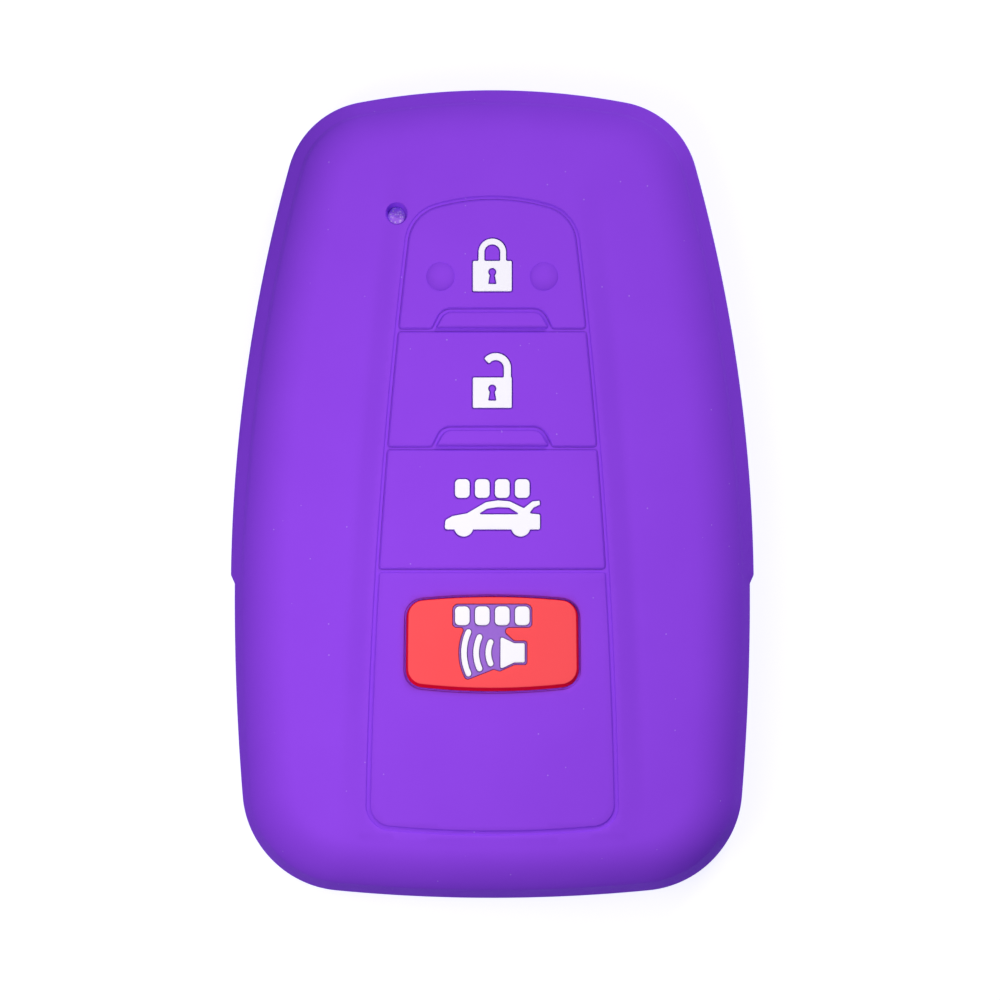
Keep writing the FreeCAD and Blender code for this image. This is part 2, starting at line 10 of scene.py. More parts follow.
import bpy
import numpy as np
from mathutils.geometry import delaunay_2d_cdt
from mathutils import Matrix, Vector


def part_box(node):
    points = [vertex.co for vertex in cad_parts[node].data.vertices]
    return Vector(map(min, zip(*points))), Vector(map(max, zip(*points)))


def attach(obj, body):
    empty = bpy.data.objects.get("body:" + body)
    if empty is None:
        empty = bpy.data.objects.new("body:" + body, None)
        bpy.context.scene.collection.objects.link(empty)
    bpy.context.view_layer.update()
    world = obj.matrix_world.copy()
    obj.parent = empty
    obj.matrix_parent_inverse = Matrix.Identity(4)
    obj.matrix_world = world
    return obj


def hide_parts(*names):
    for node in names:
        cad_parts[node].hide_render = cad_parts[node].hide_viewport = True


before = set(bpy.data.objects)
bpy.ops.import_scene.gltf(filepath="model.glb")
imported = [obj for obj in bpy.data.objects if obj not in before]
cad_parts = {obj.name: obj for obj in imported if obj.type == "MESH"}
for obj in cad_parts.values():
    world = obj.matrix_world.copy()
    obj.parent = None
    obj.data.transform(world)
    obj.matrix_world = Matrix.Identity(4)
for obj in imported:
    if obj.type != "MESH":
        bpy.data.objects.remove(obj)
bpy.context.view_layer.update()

MM = 0.001


# %% [markdown]
# ## Camera
# The photograph looks straight down on the front, with the lock key at the top. A camera close by would
# show the side walls too, so a long lens far away is used, which keeps them hidden, as they are there. The
# view is a little wider than the cover is long, and the cover lies slightly off its middle.

# %% Camera
view_width = 98.93 * MM
view_centre = (0.76 * MM, -0.575 * MM)
sensor_width = 36.0
lens = 800.0
rim_level = 9.0 * MM

camera_data = bpy.data.cameras.new("top_camera")
camera_data.sensor_width = sensor_width
camera_data.lens = lens
camera = bpy.data.objects.new("top_camera", camera_data)
camera.location = (*view_centre, rim_level + view_width * lens / sensor_width)
bpy.context.collection.objects.link(camera)
bpy.context.scene.camera = camera
print("camera height in mm:", round(camera.location.z / MM, 1))


# %% [markdown]
# ## Colours and shader nodes
# Colours are written as sRGB hex values, as a paint chart gives them, and turned to linear light for the
# shader. Nodes could be added one line at a time. One helper that adds a node, sets its sockets and
# properties, and links its inputs keeps each material short enough to read.

# %% Colour and node helpers
def linear(hex_colour):
    """sRGB hex to linear RGBA: up to 0.04045 divide by 12.92, above it take ((c + 0.055) / 1.055) to the
    power 2.4."""
    channels = np.array([int(hex_colour[i:i + 2], 16) for i in (1, 3, 5)]) / 255
    low = channels / 12.92
    high = ((channels + 0.055) / 1.055) ** 2.4
    return (*np.where(channels <= 0.04045, low, high).tolist(), 1.0)


def add_node(tree, kind, settings=None, links=None, **values):
    """Adds a node: settings are its properties, values its sockets, and links the outputs that feed its
    sockets."""
    node = tree.nodes.new(kind)
    for key, value in (settings or {}).items():
        setattr(node, key, value)
    for key, value in values.items():
        node.inputs[key.replace("_", " ")].default_value = value
    for key, output in (links or {}).items():
        tree.links.new(output, node.inputs[key])
    return node


def new_material(name):
    """An empty node material and its node tree."""
    material = bpy.data.materials.new(name)
    material.use_nodes = True
    material.node_tree.nodes.clear()
    return material, material.node_tree


def per_metre(size_mm):
    """Texture scale for a feature of this many millimetres, as Object coordinates are in metres."""
    return 1 / (size_mm * MM)


print("mid grey in linear light:", round(linear("#808080")[0], 3))


# %% [markdown]
# ## Floor, world and lamps
# A product shot on white: a soft lamp overhead and a little to the left, another beyond the top right, and
# cool pale light from all round. The floor is white paper. Light alone could make it white, but it would
# wash out the cover, so to the camera the paper gives a little light of its own. It reads as plain white
# where it is lit and still shows the soft shadow under the cover.

# %% Floor
floor_size = 1.6
floor_paper = "#9c9cc2"
floor_lift = 0.81
pure_white = (1, 1, 1, 1)

floor_mesh = bpy.data.meshes.new("floor")
edge = floor_size / 2
floor_corners = [(-edge, -edge, 0), (edge, -edge, 0), (edge, edge, 0), (-edge, edge, 0)]
floor_mesh.from_pydata(floor_corners, [], [(0, 1, 2, 3)])
floor = bpy.data.objects.new("floor", floor_mesh)
bpy.context.collection.objects.link(floor)


def seen_directly(tree):
    """1 for rays from the camera, in a reflection or through glass, and 0 for the light that falls on
    things."""
    path = add_node(tree, "ShaderNodeLightPath")
    seen = add_node(tree, "ShaderNodeMath", {"operation": "MAXIMUM"},
                    {0: path.outputs["Is Camera Ray"], 1: path.outputs["Is Glossy Ray"]})
    seen = add_node(tree, "ShaderNodeMath", {"operation": "MAXIMUM"},
                    {0: seen.outputs[0], 1: path.outputs["Is Transmission Ray"]})
    return seen.outputs[0]


paper, tree = new_material("white_paper_sweep")
lift = add_node(tree, "ShaderNodeMath", {"operation": "MULTIPLY"}, {0: seen_directly(tree)})
lift.inputs[1].default_value = floor_lift
sheet = add_node(tree, "ShaderNodeBsdfPrincipled", links={"Emission Strength": lift.outputs[0]},
                 Base_Color=linear(floor_paper), Roughness=0.9, Emission_Color=pure_white)
add_node(tree, "ShaderNodeOutputMaterial", links={"Surface": sheet.outputs[0]})
floor_mesh.materials.append(paper)
print("floor of", floor_size, "m")

# %% World and lamps
world_level = 0.34
world_tint = "#d8d8ff"
lamp_tint = (1.0, 0.99, 0.92)

world = bpy.data.worlds.new("studio")
bpy.context.scene.world = world
world.use_nodes = True
tree = world.node_tree
tree.nodes.clear()
seen = seen_directly(tree)
around = add_node(tree, "ShaderNodeBackground", Color=linear(world_tint), Strength=world_level)
white = add_node(tree, "ShaderNodeBackground", Color=pure_white, Strength=1.0)
mix = add_node(tree, "ShaderNodeMixShader", links={0: seen, 1: around.outputs[0], 2: white.outputs[0]})
add_node(tree, "ShaderNodeOutputWorld", links={"Surface": mix.outputs[0]})


def soft_lamp(name, place, size, power):
    """A square area lamp at a place in metres, facing the cover."""
    data = bpy.data.lights.new(name, "AREA")
    data.size = size
    data.energy = power
    data.color = lamp_tint
    lamp = bpy.data.objects.new(name, data)
    lamp.location = place
    direction = -lamp.location
    lamp.rotation_euler = direction.to_track_quat("-Z", "Y").to_euler()
    bpy.context.collection.objects.link(lamp)
    return lamp


lamps = [soft_lamp("overhead_softbox", place=(-0.045, -0.03, 0.12), size=0.09, power=0.094),
         soft_lamp("top_softbox", place=(0.22, 0.38, 0.3), size=0.2, power=1.25)]
bpy.context.scene.view_settings.view_transform = "Standard"
print("lamps:", [lamp.name for lamp in lamps])


# %% [markdown]
# ## Moulded silicone
# Silicone rubber copies its mould: a satin skin with a fine blasted grain, slightly cloudy colour, and a
# few pale specks of dust and bloom that cling to it. The skin reflects little, at an index of refraction
# near 1.41, and its roughness spreads the lamps into a broad soft sheen. Two parts get a second colour
# from a point attribute: the red is painted deeper round the foot of its pad, which is painted shade where
# that wall is dark, and the purple is greyer on the island in the red. Scattered light under the skin could
# give the deep red, but a point attribute of the mesh is surer and keeps its place.

# %% Moulded silicone
drift_size = 7.0
# Blasted grain is finer than this: it is drawn as coarse as it needs to be to show.
grain_size = 0.25
grain_depth = 0.02
grain_strength = 0.12
grain_low, grain_high = 0.3, 0.7
roughness_play = 0.06
silicone_ior = 1.41
skin_specular = 0.02


def moulded_silicone(name, base, shade, speck, painted_shade_and_tone=None, speck_cell=0.9, speck_share=0.09, speck_size=0.1,
                     speck_strength=0.38, roughness=0.6):
    """Satin silicone: cloudy colour in wide drifts, fine mould grain as bump, and pale specks in a share of
    the cells of a cell pattern. Where the mesh's own point attribute for it is 1, it takes the second
    colour, which on the red pad is painted shade at the foot of its wall."""
    material, tree = new_material(name)
    place = add_node(tree, "ShaderNodeTexCoord").outputs["Object"]
    drift = add_node(tree, "ShaderNodeTexNoise", links={"Vector": place}, Scale=per_metre(drift_size),
                     Detail=2.0)
    tint = add_node(tree, "ShaderNodeMix", {"data_type": "RGBA"}, {"Factor": drift.outputs["Fac"]},
                    A=linear(shade), B=linear(base))
    cells = add_node(tree, "ShaderNodeTexVoronoi", links={"Vector": place}, Scale=per_metre(speck_cell))
    chance = add_node(tree, "ShaderNodeSeparateColor", links={"Color": cells.outputs["Color"]})
    rare = add_node(tree, "ShaderNodeMath", {"operation": "LESS_THAN"}, {0: chance.outputs[0]})
    rare.inputs[1].default_value = speck_share
    small = add_node(tree, "ShaderNodeMapRange", links={"Value": cells.outputs["Distance"]},
                     From_Min=0.5 * speck_size, From_Max=speck_size, To_Min=speck_strength, To_Max=0.0)
    dusty = add_node(tree, "ShaderNodeMath", {"operation": "MULTIPLY"},
                     {0: rare.outputs[0], 1: small.outputs[0]})
    colour = add_node(tree, "ShaderNodeMix", {"data_type": "RGBA"},
                      {"Factor": dusty.outputs[0], "A": tint.outputs["Result"]}, B=linear(speck))
    # A second colour by a point attribute: painted shade on the red pad, a greyer tone on the purple island.
    if painted_shade_and_tone:
        layer = add_node(tree, "ShaderNodeAttribute", {"attribute_name": "painted_shade_and_tone"})
        colour = add_node(tree, "ShaderNodeMix", {"data_type": "RGBA"},
                          {"Factor": layer.outputs["Fac"], "A": colour.outputs["Result"]}, B=linear(painted_shade_and_tone))
    grain = add_node(tree, "ShaderNodeTexNoise", links={"Vector": place}, Scale=per_metre(grain_size),
                     Detail=3.0)
    bump = add_node(tree, "ShaderNodeBump", links={"Height": grain.outputs["Fac"]},
                    Strength=grain_strength, Distance=grain_depth * MM)
    satin = add_node(tree, "ShaderNodeMapRange", links={"Value": grain.outputs["Fac"]},
                     From_Min=grain_low, From_Max=grain_high,
                     To_Min=roughness - roughness_play, To_Max=roughness + roughness_play)
    skin = add_node(tree, "ShaderNodeBsdfPrincipled",
                    links={"Base Color": colour.outputs["Result"], "Roughness": satin.outputs[0],
                           "Normal": bump.outputs[0]},
                    IOR=silicone_ior, Specular_IOR_Level=skin_specular)
    add_node(tree, "ShaderNodeOutputMaterial", links={"Surface": skin.outputs[0]})
    return material


# Purple silicone, pressed in a blasted steel mould: satin and even, with a soft sheen and a little dust.
# On the island in the red pad it is greyer.
purple = moulded_silicone("purple_moulded_silicone", "#9348e6", "#8f44e2", "#d0b4f4", painted_shade_and_tone="#9c6cd0")
# Red silicone, cast over the purple base of one key: the same satin, and a deeper red round the foot of its
# wall, which is painted shade.
red = moulded_silicone("red_moulded_silicone", "#ff585c", "#fe5257", "#ffb0b0", painted_shade_and_tone="#ff0c34")
# White silicone, cast into seats in the keys: nearly plain white, with its grain hidden by its brightness.
white_silicone = moulded_silicone("white_moulded_silicone", "#fefcff", "#fbf8fd", "#ffffff")
# Purple silicone, left thin and rough by the mould so that light passes. Its paler colour is painted light
# shining through it, and its bright grains are painted sparkle.
frosted_painted_glow = moulded_silicone("frosted_purple_painted_glow", "#b67af6", "#a668ee", "#ecd4ff", speck_cell=0.24,
                           speck_share=0.4, speck_size=0.6, speck_strength=0.6, roughness=0.35)
print("materials:", [m.name for m in (purple, red, white_silicone, frosted_painted_glow)])


# %% [markdown]
# ## Outlines made of touching arcs
# A mould maker draws outlines as chains of arcs that meet without a corner. They could be Blender curves,
# but with numpy each sample keeps its arc's centre, radius and outward angle. The outline moved out by d is
# then simply centre + (radius + d) times that direction. So walls, rolls and grooves are the same outline
# at other distances, and their samples match one to one.

# %% Outlines made of touching arcs
def touching_centre(first, second, radius, upward):
    """Centre of the circle of this radius inside two circles (x, y, r), touching both: where two circles of
    the reduced radii cross."""
    first, second = np.array(first), np.array(second)
    reach_1, reach_2 = first[2] - radius, second[2] - radius
    gap = second[:2] - first[:2]
    span = np.hypot(*gap)
    along = (reach_1 ** 2 - reach_2 ** 2 + span ** 2) / (2 * span)
    across = math.sqrt(reach_1 ** 2 - along ** 2)
    unit = gap / span
    foot = first[:2] + along * unit
    side = across * np.array([-unit[1], unit[0]])
    return max((foot + side, foot - side), key=lambda place: place[1] * upward)


def direction_angle(circle, centre):
    """Angle at which a centre is seen from the centre of a circle."""
    return math.atan2(centre[1] - circle[1], centre[0] - circle[0])


def arc_chain(top, sides, bottom, top_corner, bottom_corner, step):
    """Left-right symmetric outline, anticlockwise: rows of centre x, centre y, radius, outward angle.
    sides are (x, y, r, end angle, step) from the lowest up, the last one ending at the top corner."""
    upper = touching_centre(top, sides[-1][:3], top_corner, 1)
    lower = touching_centre(bottom, sides[0][:3], bottom_corner, -1)
    spans = [(*lower, bottom_corner, direction_angle(bottom, lower), direction_angle(sides[0], lower), step)]
    start = spans[0][4]
    for x, y, radius, end, side_step in sides:
        end = direction_angle((x, y), upper) if end is None else end
        spans.append((x, y, radius, start, end, side_step))
        start = end
    spans.append((*upper, top_corner, start, direction_angle(top, upper), step))
    left = [(-x, y, r, math.pi - end, math.pi - start, s) for x, y, r, start, end, s in reversed(spans)]
    top_start, bottom_start = spans[-1][4], spans[0][3]
    spans += [(*top, top_start, math.pi - top_start, step)] + left
    spans += [(*bottom, math.pi - bottom_start, 2 * math.pi + bottom_start, step)]
    rows = []
    for x, y, radius, start, end, span_step in spans:
        count = max(2, math.ceil(radius * (end - start) / span_step))
        angle = np.linspace(start, end, count, endpoint=False)
        rows.append(np.column_stack([np.full(count, x), np.full(count, y), np.full(count, radius), angle]))
    return np.concatenate(rows)


def grown(chain, distance):
    """The outline moved out by distance: centre + (radius + distance) (cos, sin)."""
    x, y, radius, angle = chain.T
    reach = radius + distance
    return np.column_stack([x + reach * np.cos(angle), y + reach * np.sin(angle)])


print("arc outlines ready")


# %% [markdown]
# ## Outlines with round corners
# Keys and symbols are drawn by their corners, each with its own radius, as on a drawing. A bevel could
# round them later, but here the line itself is rounded and sampled evenly, so that the meshes get even
# faces.

# %% Outlines with round corners
nearly_straight = 1.57
corner_tolerance = 0.003


def steps(points):
    """Length of each step round a closed line, the last one back to its start."""
    return np.hypot(*(np.roll(points, -1, 0) - points).T)


def even(points, step):
    """A closed line sampled again at even steps along its length."""
    closed = np.concatenate([points, points[:1]])
    run = np.concatenate([[0], np.cumsum(steps(points))])
    spots = np.linspace(0, run[-1], max(8, math.ceil(run[-1] / step)), endpoint=False)
    return np.column_stack([np.interp(spots, run, closed[:, 0]), np.interp(spots, run, closed[:, 1])])


def opened(points):
    """A broken line's points in order, started after its widest gap."""
    return np.roll(points, -(np.argmax(steps(points)) + 1), 0)


def rounded(corners, step):
    """Closed outline from corners (x, y, radius): each corner becomes an arc that touches both its sides."""
    corners = np.array(corners, float)
    pieces = []
    for before, here, after in zip(np.roll(corners, 1, 0), corners, np.roll(corners, -1, 0)):
        back, ahead = before[:2] - here[:2], after[:2] - here[:2]
        back_length, ahead_length = np.hypot(*back), np.hypot(*ahead)
        back, ahead = back / back_length, ahead / ahead_length
        half = math.acos(np.clip(back @ ahead, -1, 1)) / 2
        reach = 0.0
        if half < nearly_straight:
            reach = min(here[2] / math.tan(half), 0.5 * back_length, 0.5 * ahead_length)
        if reach < 1e-6:
            pieces.append(here[None, :2])
            continue
        radius = reach * math.tan(half)
        middle = (back + ahead) / np.hypot(*(back + ahead))
        centre = here[:2] + middle * radius / math.sin(half)
        start, end = (math.atan2(*(here[:2] + way * reach - centre)[::-1]) for way in (back, ahead))
        turn = (end - start + math.pi) % (2 * math.pi) - math.pi
        angle = start + turn * np.linspace(0, 1, max(4, math.ceil(abs(turn) * radius / step)))
        pieces.append(centre + radius * np.column_stack([np.cos(angle), np.sin(angle)]))
    return even(np.concatenate(pieces), step)


def offset(points, distance):
    """A closed anticlockwise line moved out along its normals by distance."""
    along = np.roll(points, -1, 0) - np.roll(points, 1, 0)
    normal = np.column_stack([along[:, 1], -along[:, 0]])
    return points + distance * normal / np.linalg.norm(normal, axis=1, keepdims=True)


def stand_off(points, distance, step):
    """A closed line moved out by distance, without the points that come nearer than that in its inner
    corners."""
    moved = offset(points, distance)
    ahead = np.roll(points, -1, 0) - points
    reach = moved[:, None] - points[None]
    share = np.clip((reach * ahead).sum(2) / (ahead ** 2).sum(1), 0, 1)
    nearest = np.linalg.norm(reach - share[..., None] * ahead, axis=2).min(1)
    return even(moved[nearest > abs(distance) - corner_tolerance], step)


print("corner outlines ready")


# %% [markdown]
# ## A moulding builder
# A moulding is a closed skin. Most of it is a profile carried round an outline, which is a strip of quads
# between matching rings. Faces with holes in them, such as the front with its keys, are filled by a
# triangulation that keeps the rings as edges, with a grid of points between, and a height formula lifts it.
# Boolean cuts could make the holes too, but they leave ragged edges on a curved skin. All rings run
# anticlockwise seen from above, and following the profile with the outside on the right hand keeps every
# face pointing out.

# %% Moulding builder
sharp_edge = math.radians(50)
level_rise = 1e-12
weld = 1e-7


def inside(points, loops, block=4000):
    """Even-odd rule, by blocks of points: a ray to the right crosses the loops an odd number of times."""
    found = []
    for start in range(0, len(points), block):
        x, y = points[start:start + block, 0:1], points[start:start + block, 1:2]
        crossings = 0
        for loop in loops:
            ahead = np.roll(loop, -1, 0)
            rise = ahead[:, 1] - loop[:, 1]
            rise = np.where(np.abs(rise) < level_rise, level_rise, rise)
            cross_x = loop[:, 0] + (y - loop[:, 1]) * (ahead[:, 0] - loop[:, 0]) / rise
            straddles = (loop[:, 1] > y) != (ahead[:, 1] > y)
            crossings = crossings + (straddles & (x < cross_x)).sum(1)
        found.append(crossings % 2 == 1)
    return np.concatenate(found) if found else np.zeros(0, bool)


class Moulding:
    """Rings of points and the faces between them, gathered into one closed mesh. Sizes in millimetres."""

    def __init__(self):
        self.points, self.quads, self.triangles, self.count = [], [], [], 0

    def ring(self, line, height):
        """Adds a line of points at a height, which is a number or a formula, and returns their numbers."""
        z = height(line[:, 0], line[:, 1]) if callable(height) else np.broadcast_to(height, len(line))
        self.points.append(np.column_stack([line, z]))
        self.count += len(line)
        return np.arange(self.count - len(line), self.count)

    def strip(self, *rings):
        """Quads from each ring to the next."""
        for a, b in zip(rings, rings[1:]):
            self.quads.append(np.column_stack([a, np.roll(a, -1), np.roll(b, -1), b]))

    def fill(self, outer, holes, height, spacing, down=False, extra=None):
        """Triangles between an outer ring and hole rings, with grid points between them at a given height.
        extra is centres, a radius and points: within the radius of a centre the points replace the grid."""
        everything = np.concatenate(self.points)
        rings = [outer] + list(holes)
        loops = [everything[ring, :2] for ring in rings]
        low, high = loops[0].min(0), loops[0].max(0)
        across = np.arange(low[0], high[0], spacing)
        along = np.arange(low[1], high[1], spacing * math.sqrt(0.75))
        x, y = np.meshgrid(across, along)
        x = x + spacing / 2 * (np.arange(len(along)) % 2)[:, None]
        grid = np.column_stack([x.ravel(), y.ravel()])
        room = 0.6 * spacing
        margins = [offset(loops[0], -room)] + [offset(loop, room) for loop in loops[1:]]
        grid = grid[inside(grid, margins)]
        if extra is not None:
            centre, radius, spots = extra
            away = np.hypot(grid[:, None, 0] - centre[:, 0], grid[:, None, 1] - centre[:, 1]).min(1)
            grid = np.concatenate([grid[away > radius], spots])
        middle = self.ring(grid, height)
        numbers = np.concatenate(rings + [middle])
        flat = np.concatenate(loops + [grid])
        starts = np.cumsum([0] + [len(ring) for ring in rings])
        edges = [np.column_stack([np.arange(a, b), np.roll(np.arange(a, b), -1)])
                 for a, b in zip(starts, starts[1:])]
        made = delaunay_2d_cdt(flat.tolist(), np.concatenate(edges).tolist(), [], 1, weld)
        if not all(made[3]):
            raise ValueError("two rings cross")
        origin = np.array([source[0] for source in made[3]])
        faces = origin[np.array(made[2])]
        faces = faces[inside(flat[faces].mean(1), loops)]
        self.triangles.append(numbers[faces[:, ::-1] if down else faces])

    def piece(self, name, body, slot, material, *nodes):
        """Makes the mesh object, smooth but for its sharp edges, and ties it to its body and nodes."""
        mesh = bpy.data.meshes.new(name)
        faces = [face for block in self.quads + self.triangles for face in block.tolist()]
        mesh.from_pydata((np.concatenate(self.points) * MM).tolist(), [], faces)
        mesh.shade_smooth()
        mesh.set_sharp_from_angle(angle=sharp_edge)
        mesh.materials.append(material)
        thing = bpy.data.objects.new(name, mesh)
        bpy.context.collection.objects.link(thing)
        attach(thing, body)
        if nodes:
            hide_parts(*nodes)
        print("%-16s %6d points %6d faces on %s" % (name, self.count, len(faces), body))
        return thing


def quarter(count):
    """Angles from 0 to 90 degrees, for a quarter round carried along an outline."""
    return np.radians(np.linspace(0, 90, count))


print("moulding builder ready, quarter round in degrees:", np.degrees(quarter(4)).round().tolist())


# %% [markdown]
# ## Outlines of the cover, the panel and the pad
# The cover is barrel-shaped, widest at its waist, with a gently arched top and bottom. The key panel and
# the red pad have the same kind of outline. Their lengths come from the boxes of the CAD nodes, and the
# radii are those of the mould. All sizes are in millimetres.

# %% Outline of the cover
def box(node):
    """Lowest and highest corner of a CAD node, in millimetres."""
    low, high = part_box(node)
    return np.array(low) / MM, np.array(high) / MM


cover_low, cover_high = box("cover_body")
band_proud = 0.4
half_width = 25.51
waist_y = -10.4
top_y = cover_high[1] - band_proud
bottom_y = cover_low[1]
top_radius, bottom_radius = 72.0, 165.0
above_radius, below_radius = 161.0, 246.0
top_corner, bottom_corner = 8.4, 10.2
band_end_length = 3.4
outline_step, side_step, band_end_step = 0.35, 0.4, 0.12

side_above = (half_width - above_radius, waist_y, above_radius)
side_below = (half_width - below_radius, waist_y, below_radius)
cover_sides = [(*side_below, 0.0, side_step),
               (*side_above, band_end_length / above_radius, band_end_step),
               (*side_above, None, side_step)]
cover_line = arc_chain((0, top_y - top_radius, top_radius), cover_sides,
                       (0, bottom_y + bottom_radius, bottom_radius), top_corner, bottom_corner, outline_step)
print("samples on the cover's outline:", len(cover_line))

# %% Outlines of the panel and the pad
slot_half = 0.17
panel_margin = 6.55
panel_half, panel_widest_y = 12.36, -42.1
panel_top_radius, panel_side_radius, panel_bottom_radius = 20.0, 573.0, 112.0
panel_top_corner, panel_bottom_corner = 4.0, 2.3
panel_step, panel_side_step = 0.2, 0.3
pad_top_radius, pad_side_radius, pad_bottom_radius = 72.0, 400.0, 64.0
pad_corner = 1.75
pad_step, pad_side_step = 0.15, 0.2

panel_top = box("lock_key")[1][1] + slot_half
panel_bottom = bottom_y + panel_margin
panel_side = (panel_half - panel_side_radius, panel_widest_y, panel_side_radius)
panel_line = arc_chain((0, panel_top - panel_top_radius, panel_top_radius),
                       [(*panel_side, None, panel_side_step)],
                       (0, panel_bottom + panel_bottom_radius, panel_bottom_radius),
                       panel_top_corner, panel_bottom_corner, panel_step)

pad_low, pad_high = box("panic_pad")
pad_half = (pad_high[0] - pad_low[0]) / 2
pad_side = (pad_half - pad_side_radius, pad_low[1], pad_side_radius)
pad_line = arc_chain((0, pad_high[1] - pad_top_radius, pad_top_radius), [(*pad_side, None, pad_side_step)],
                     (0, pad_low[1] + pad_bottom_radius, pad_bottom_radius),
                     pad_corner, pad_corner, pad_step)
print("samples on the panel's outline:", len(panel_line), "and on the pad's:", len(pad_line))


# %% [markdown]
# ## Height of the front
# The front is a barrel: round across, and more gently round along the cover. A low spine stands on it under
# the keys and fades out towards both ends, with a soft slope on each side. It could be sculpted, but as
# formulas of x and y these serve every piece that takes part in the front, so the keys lie flush by
# themselves.

# %% Height of the front
crown_across = 110.0
crown_along = 300.0
crown_top = 16.5
spine_height = 0.8
spine_half_length = 36.0
spine_shoulder = 0.1
fade_sharpness, fade_softness = 4, 1.5
slope_width = 2.6
front_wall = 1.6
groove_half = 0.12


def barrel(x, y):
    """A circle across, carried along a larger one: top - along + sqrt((along - across +
    sqrt(across^2 - x^2))^2 - y^2)."""
    reach = crown_along - crown_across + np.sqrt(crown_across ** 2 - x ** 2)
    return crown_top - crown_along + np.sqrt(reach ** 2 - y ** 2)


def smooth_step(t):
    """0 below 0, 1 above 1, and 3t^2 - 2t^3 between."""
    t = np.clip(t, 0, 1)
    return t * t * (3 - 2 * t)


def soft_ramp(t, bend=0.22):
    """0 below 0, 1 above 1 and a straight ramp between, with a parabola over a share of its length at each
    end."""
    t = np.clip(t, 0, 1)
    curve = np.minimum(t, 1 - t)
    straight = (t - bend / 2) / (1 - bend)
    rounding = np.clip(bend - curve, 0, None) ** 2 / (2 * bend * (1 - bend))
    return straight + np.where(t < 0.5, rounding, -rounding)


def spine(x, y):
    """A fade along the cover, (1 - t^4) to the power 1.5, times a soft ramp down each side of the panel."""
    panel_edge_x = panel_side[0] + np.sqrt(panel_side[2] ** 2 - (y - panel_side[1]) ** 2)
    shoulder = panel_edge_x + groove_half + spine_shoulder
    along = np.clip(1 - (y / spine_half_length) ** fade_sharpness, 0, 1) ** fade_softness
    return spine_height * along * (1 - soft_ramp((np.abs(x) - shoulder) / slope_width))


def front(x, y):
    """The barrel with the spine on it."""
    return barrel(x, y) + spine(x, y)


def ceiling(x, y):
    """The barrel lowered by the front wall: the top of the pocket for the fob."""
    return barrel(x, y) - front_wall


def sunk(height, drop):
    """A height formula lowered by drop."""
    return lambda x, y: height(x, y) - drop


print("front at the middle:", round(float(front(np.array(0.0), np.array(0.0))), 2), "mm")


# %% [markdown]
# ## Key outlines
# The keys fill the panel from top to bottom. Each is bounded by the panel's own side curves and by straight
# grooves across, and the upper two give way to a thumb tab with round shoulders at their foot. Cutting the
# panel with lines would do it too, but each key as one closed line is what the moulding builder takes.

# %% Key outlines
tab_foot = 11.4
tab_slope = 1.0
tab_length = 1.75
tab_round = 1.2
tab_foot_round = 0.2
key_corner = 0.3
arch_start = 1.0
line_step = 0.15


def plain(points):
    """Corners of no radius at these points."""
    return [(x, y, 0.0) for x, y in points]


def tab_corners(foot_y, grow, foot_round):
    """Thumb tab: a low trapezium with round upper corners, moved out by grow."""
    low, head = foot_y + groove_half, foot_y + groove_half + tab_length + grow
    wide, narrow = tab_foot / 2 + grow, tab_foot / 2 + grow - tab_slope
    top_round = tab_round + grow
    foot = [(-wide, low, foot_round), (wide, low, foot_round)]
    return foot + [(narrow, head, top_round), (-narrow, head, top_round)]


def tab_notch(foot_y):
    """Corners of the notch that a key leaves for its thumb tab, from left to right."""
    low_left, low_right, high_right, high_left = tab_corners(foot_y, 2 * groove_half, key_corner)
    return [low_left, high_left, high_right, low_right]


def panel_edge(y):
    """x of the right side of the panel at y, inside its groove."""
    radius = panel_side[2] - groove_half
    return panel_side[0] + np.sqrt(radius ** 2 - (y - panel_side[1]) ** 2)


def key_line(low, high, notch=(), count=16):
    """Outline of a key between two heights, with a notch where a thumb tab stands."""
    y = np.linspace(low, high, count)
    right = np.column_stack([panel_edge(y), y])
    left = right[::-1] * (-1, 1)
    corners = [(*left[-1], key_corner), *notch, (*right[0], key_corner)] + plain(right[1:-1])
    corners += [(*right[-1], key_corner), (*left[0], key_corner)] + plain(left[1:-1])
    return rounded(corners, line_step)


def lock_line(low, notch):
    """Outline of the lock key: the arched top of the panel over a notched foot."""
    arch = grown(panel_line, -groove_half)
    arch = opened(arch[arch[:, 1] > low + arch_start])
    side = panel_edge(low)
    return rounded([(-side, low, key_corner), *notch, (side, low, key_corner)] + plain(arch), line_step)


lock_foot, unlock_foot, trunk_foot = (box(node)[0][1] - slot_half
                                      for node in ("lock_key", "unlock_key", "trunk_key"))
key_lines = {
    "lock_key": lock_line(lock_foot + groove_half, tab_notch(lock_foot)),
    "unlock_key": key_line(unlock_foot + groove_half, lock_foot - groove_half, tab_notch(unlock_foot)),
    "trunk_key": key_line(trunk_foot + groove_half, unlock_foot - groove_half),
    "panic_key": grown(pad_line, 0.0),
}
for name, line in key_lines.items():
    print("%-12s x %.2f y %.2f to %.2f" % (name, line[:, 0].max(), line[:, 1].min(), line[:, 1].max()))


# %% [markdown]
# ## Symbol outlines
# White silicone is cast into the keys: a closed and an open padlock, a car with its boot up, a loudspeaker
# with sound waves, and two rows of plain blocks. A picture could be laid on the keys instead, but the real
# ones have edges that catch the light. Each outline is a few named corners, rounded, and arcs.

# %% Padlocks
symbol_step = 0.07
crisp = 0.12
case_height = 3.0


def on_circle(x, y, radius, degrees):
    """The point of a circle at an angle."""
    angle = math.radians(degrees)
    return x + radius * math.cos(angle), y + radius * math.sin(angle)


def arc(x, y, radius, start, end, count=24):
    """Corners of no radius along an arc between two angles in degrees."""
    return plain(on_circle(x, y, radius, degrees) for degrees in np.linspace(start, end, count))


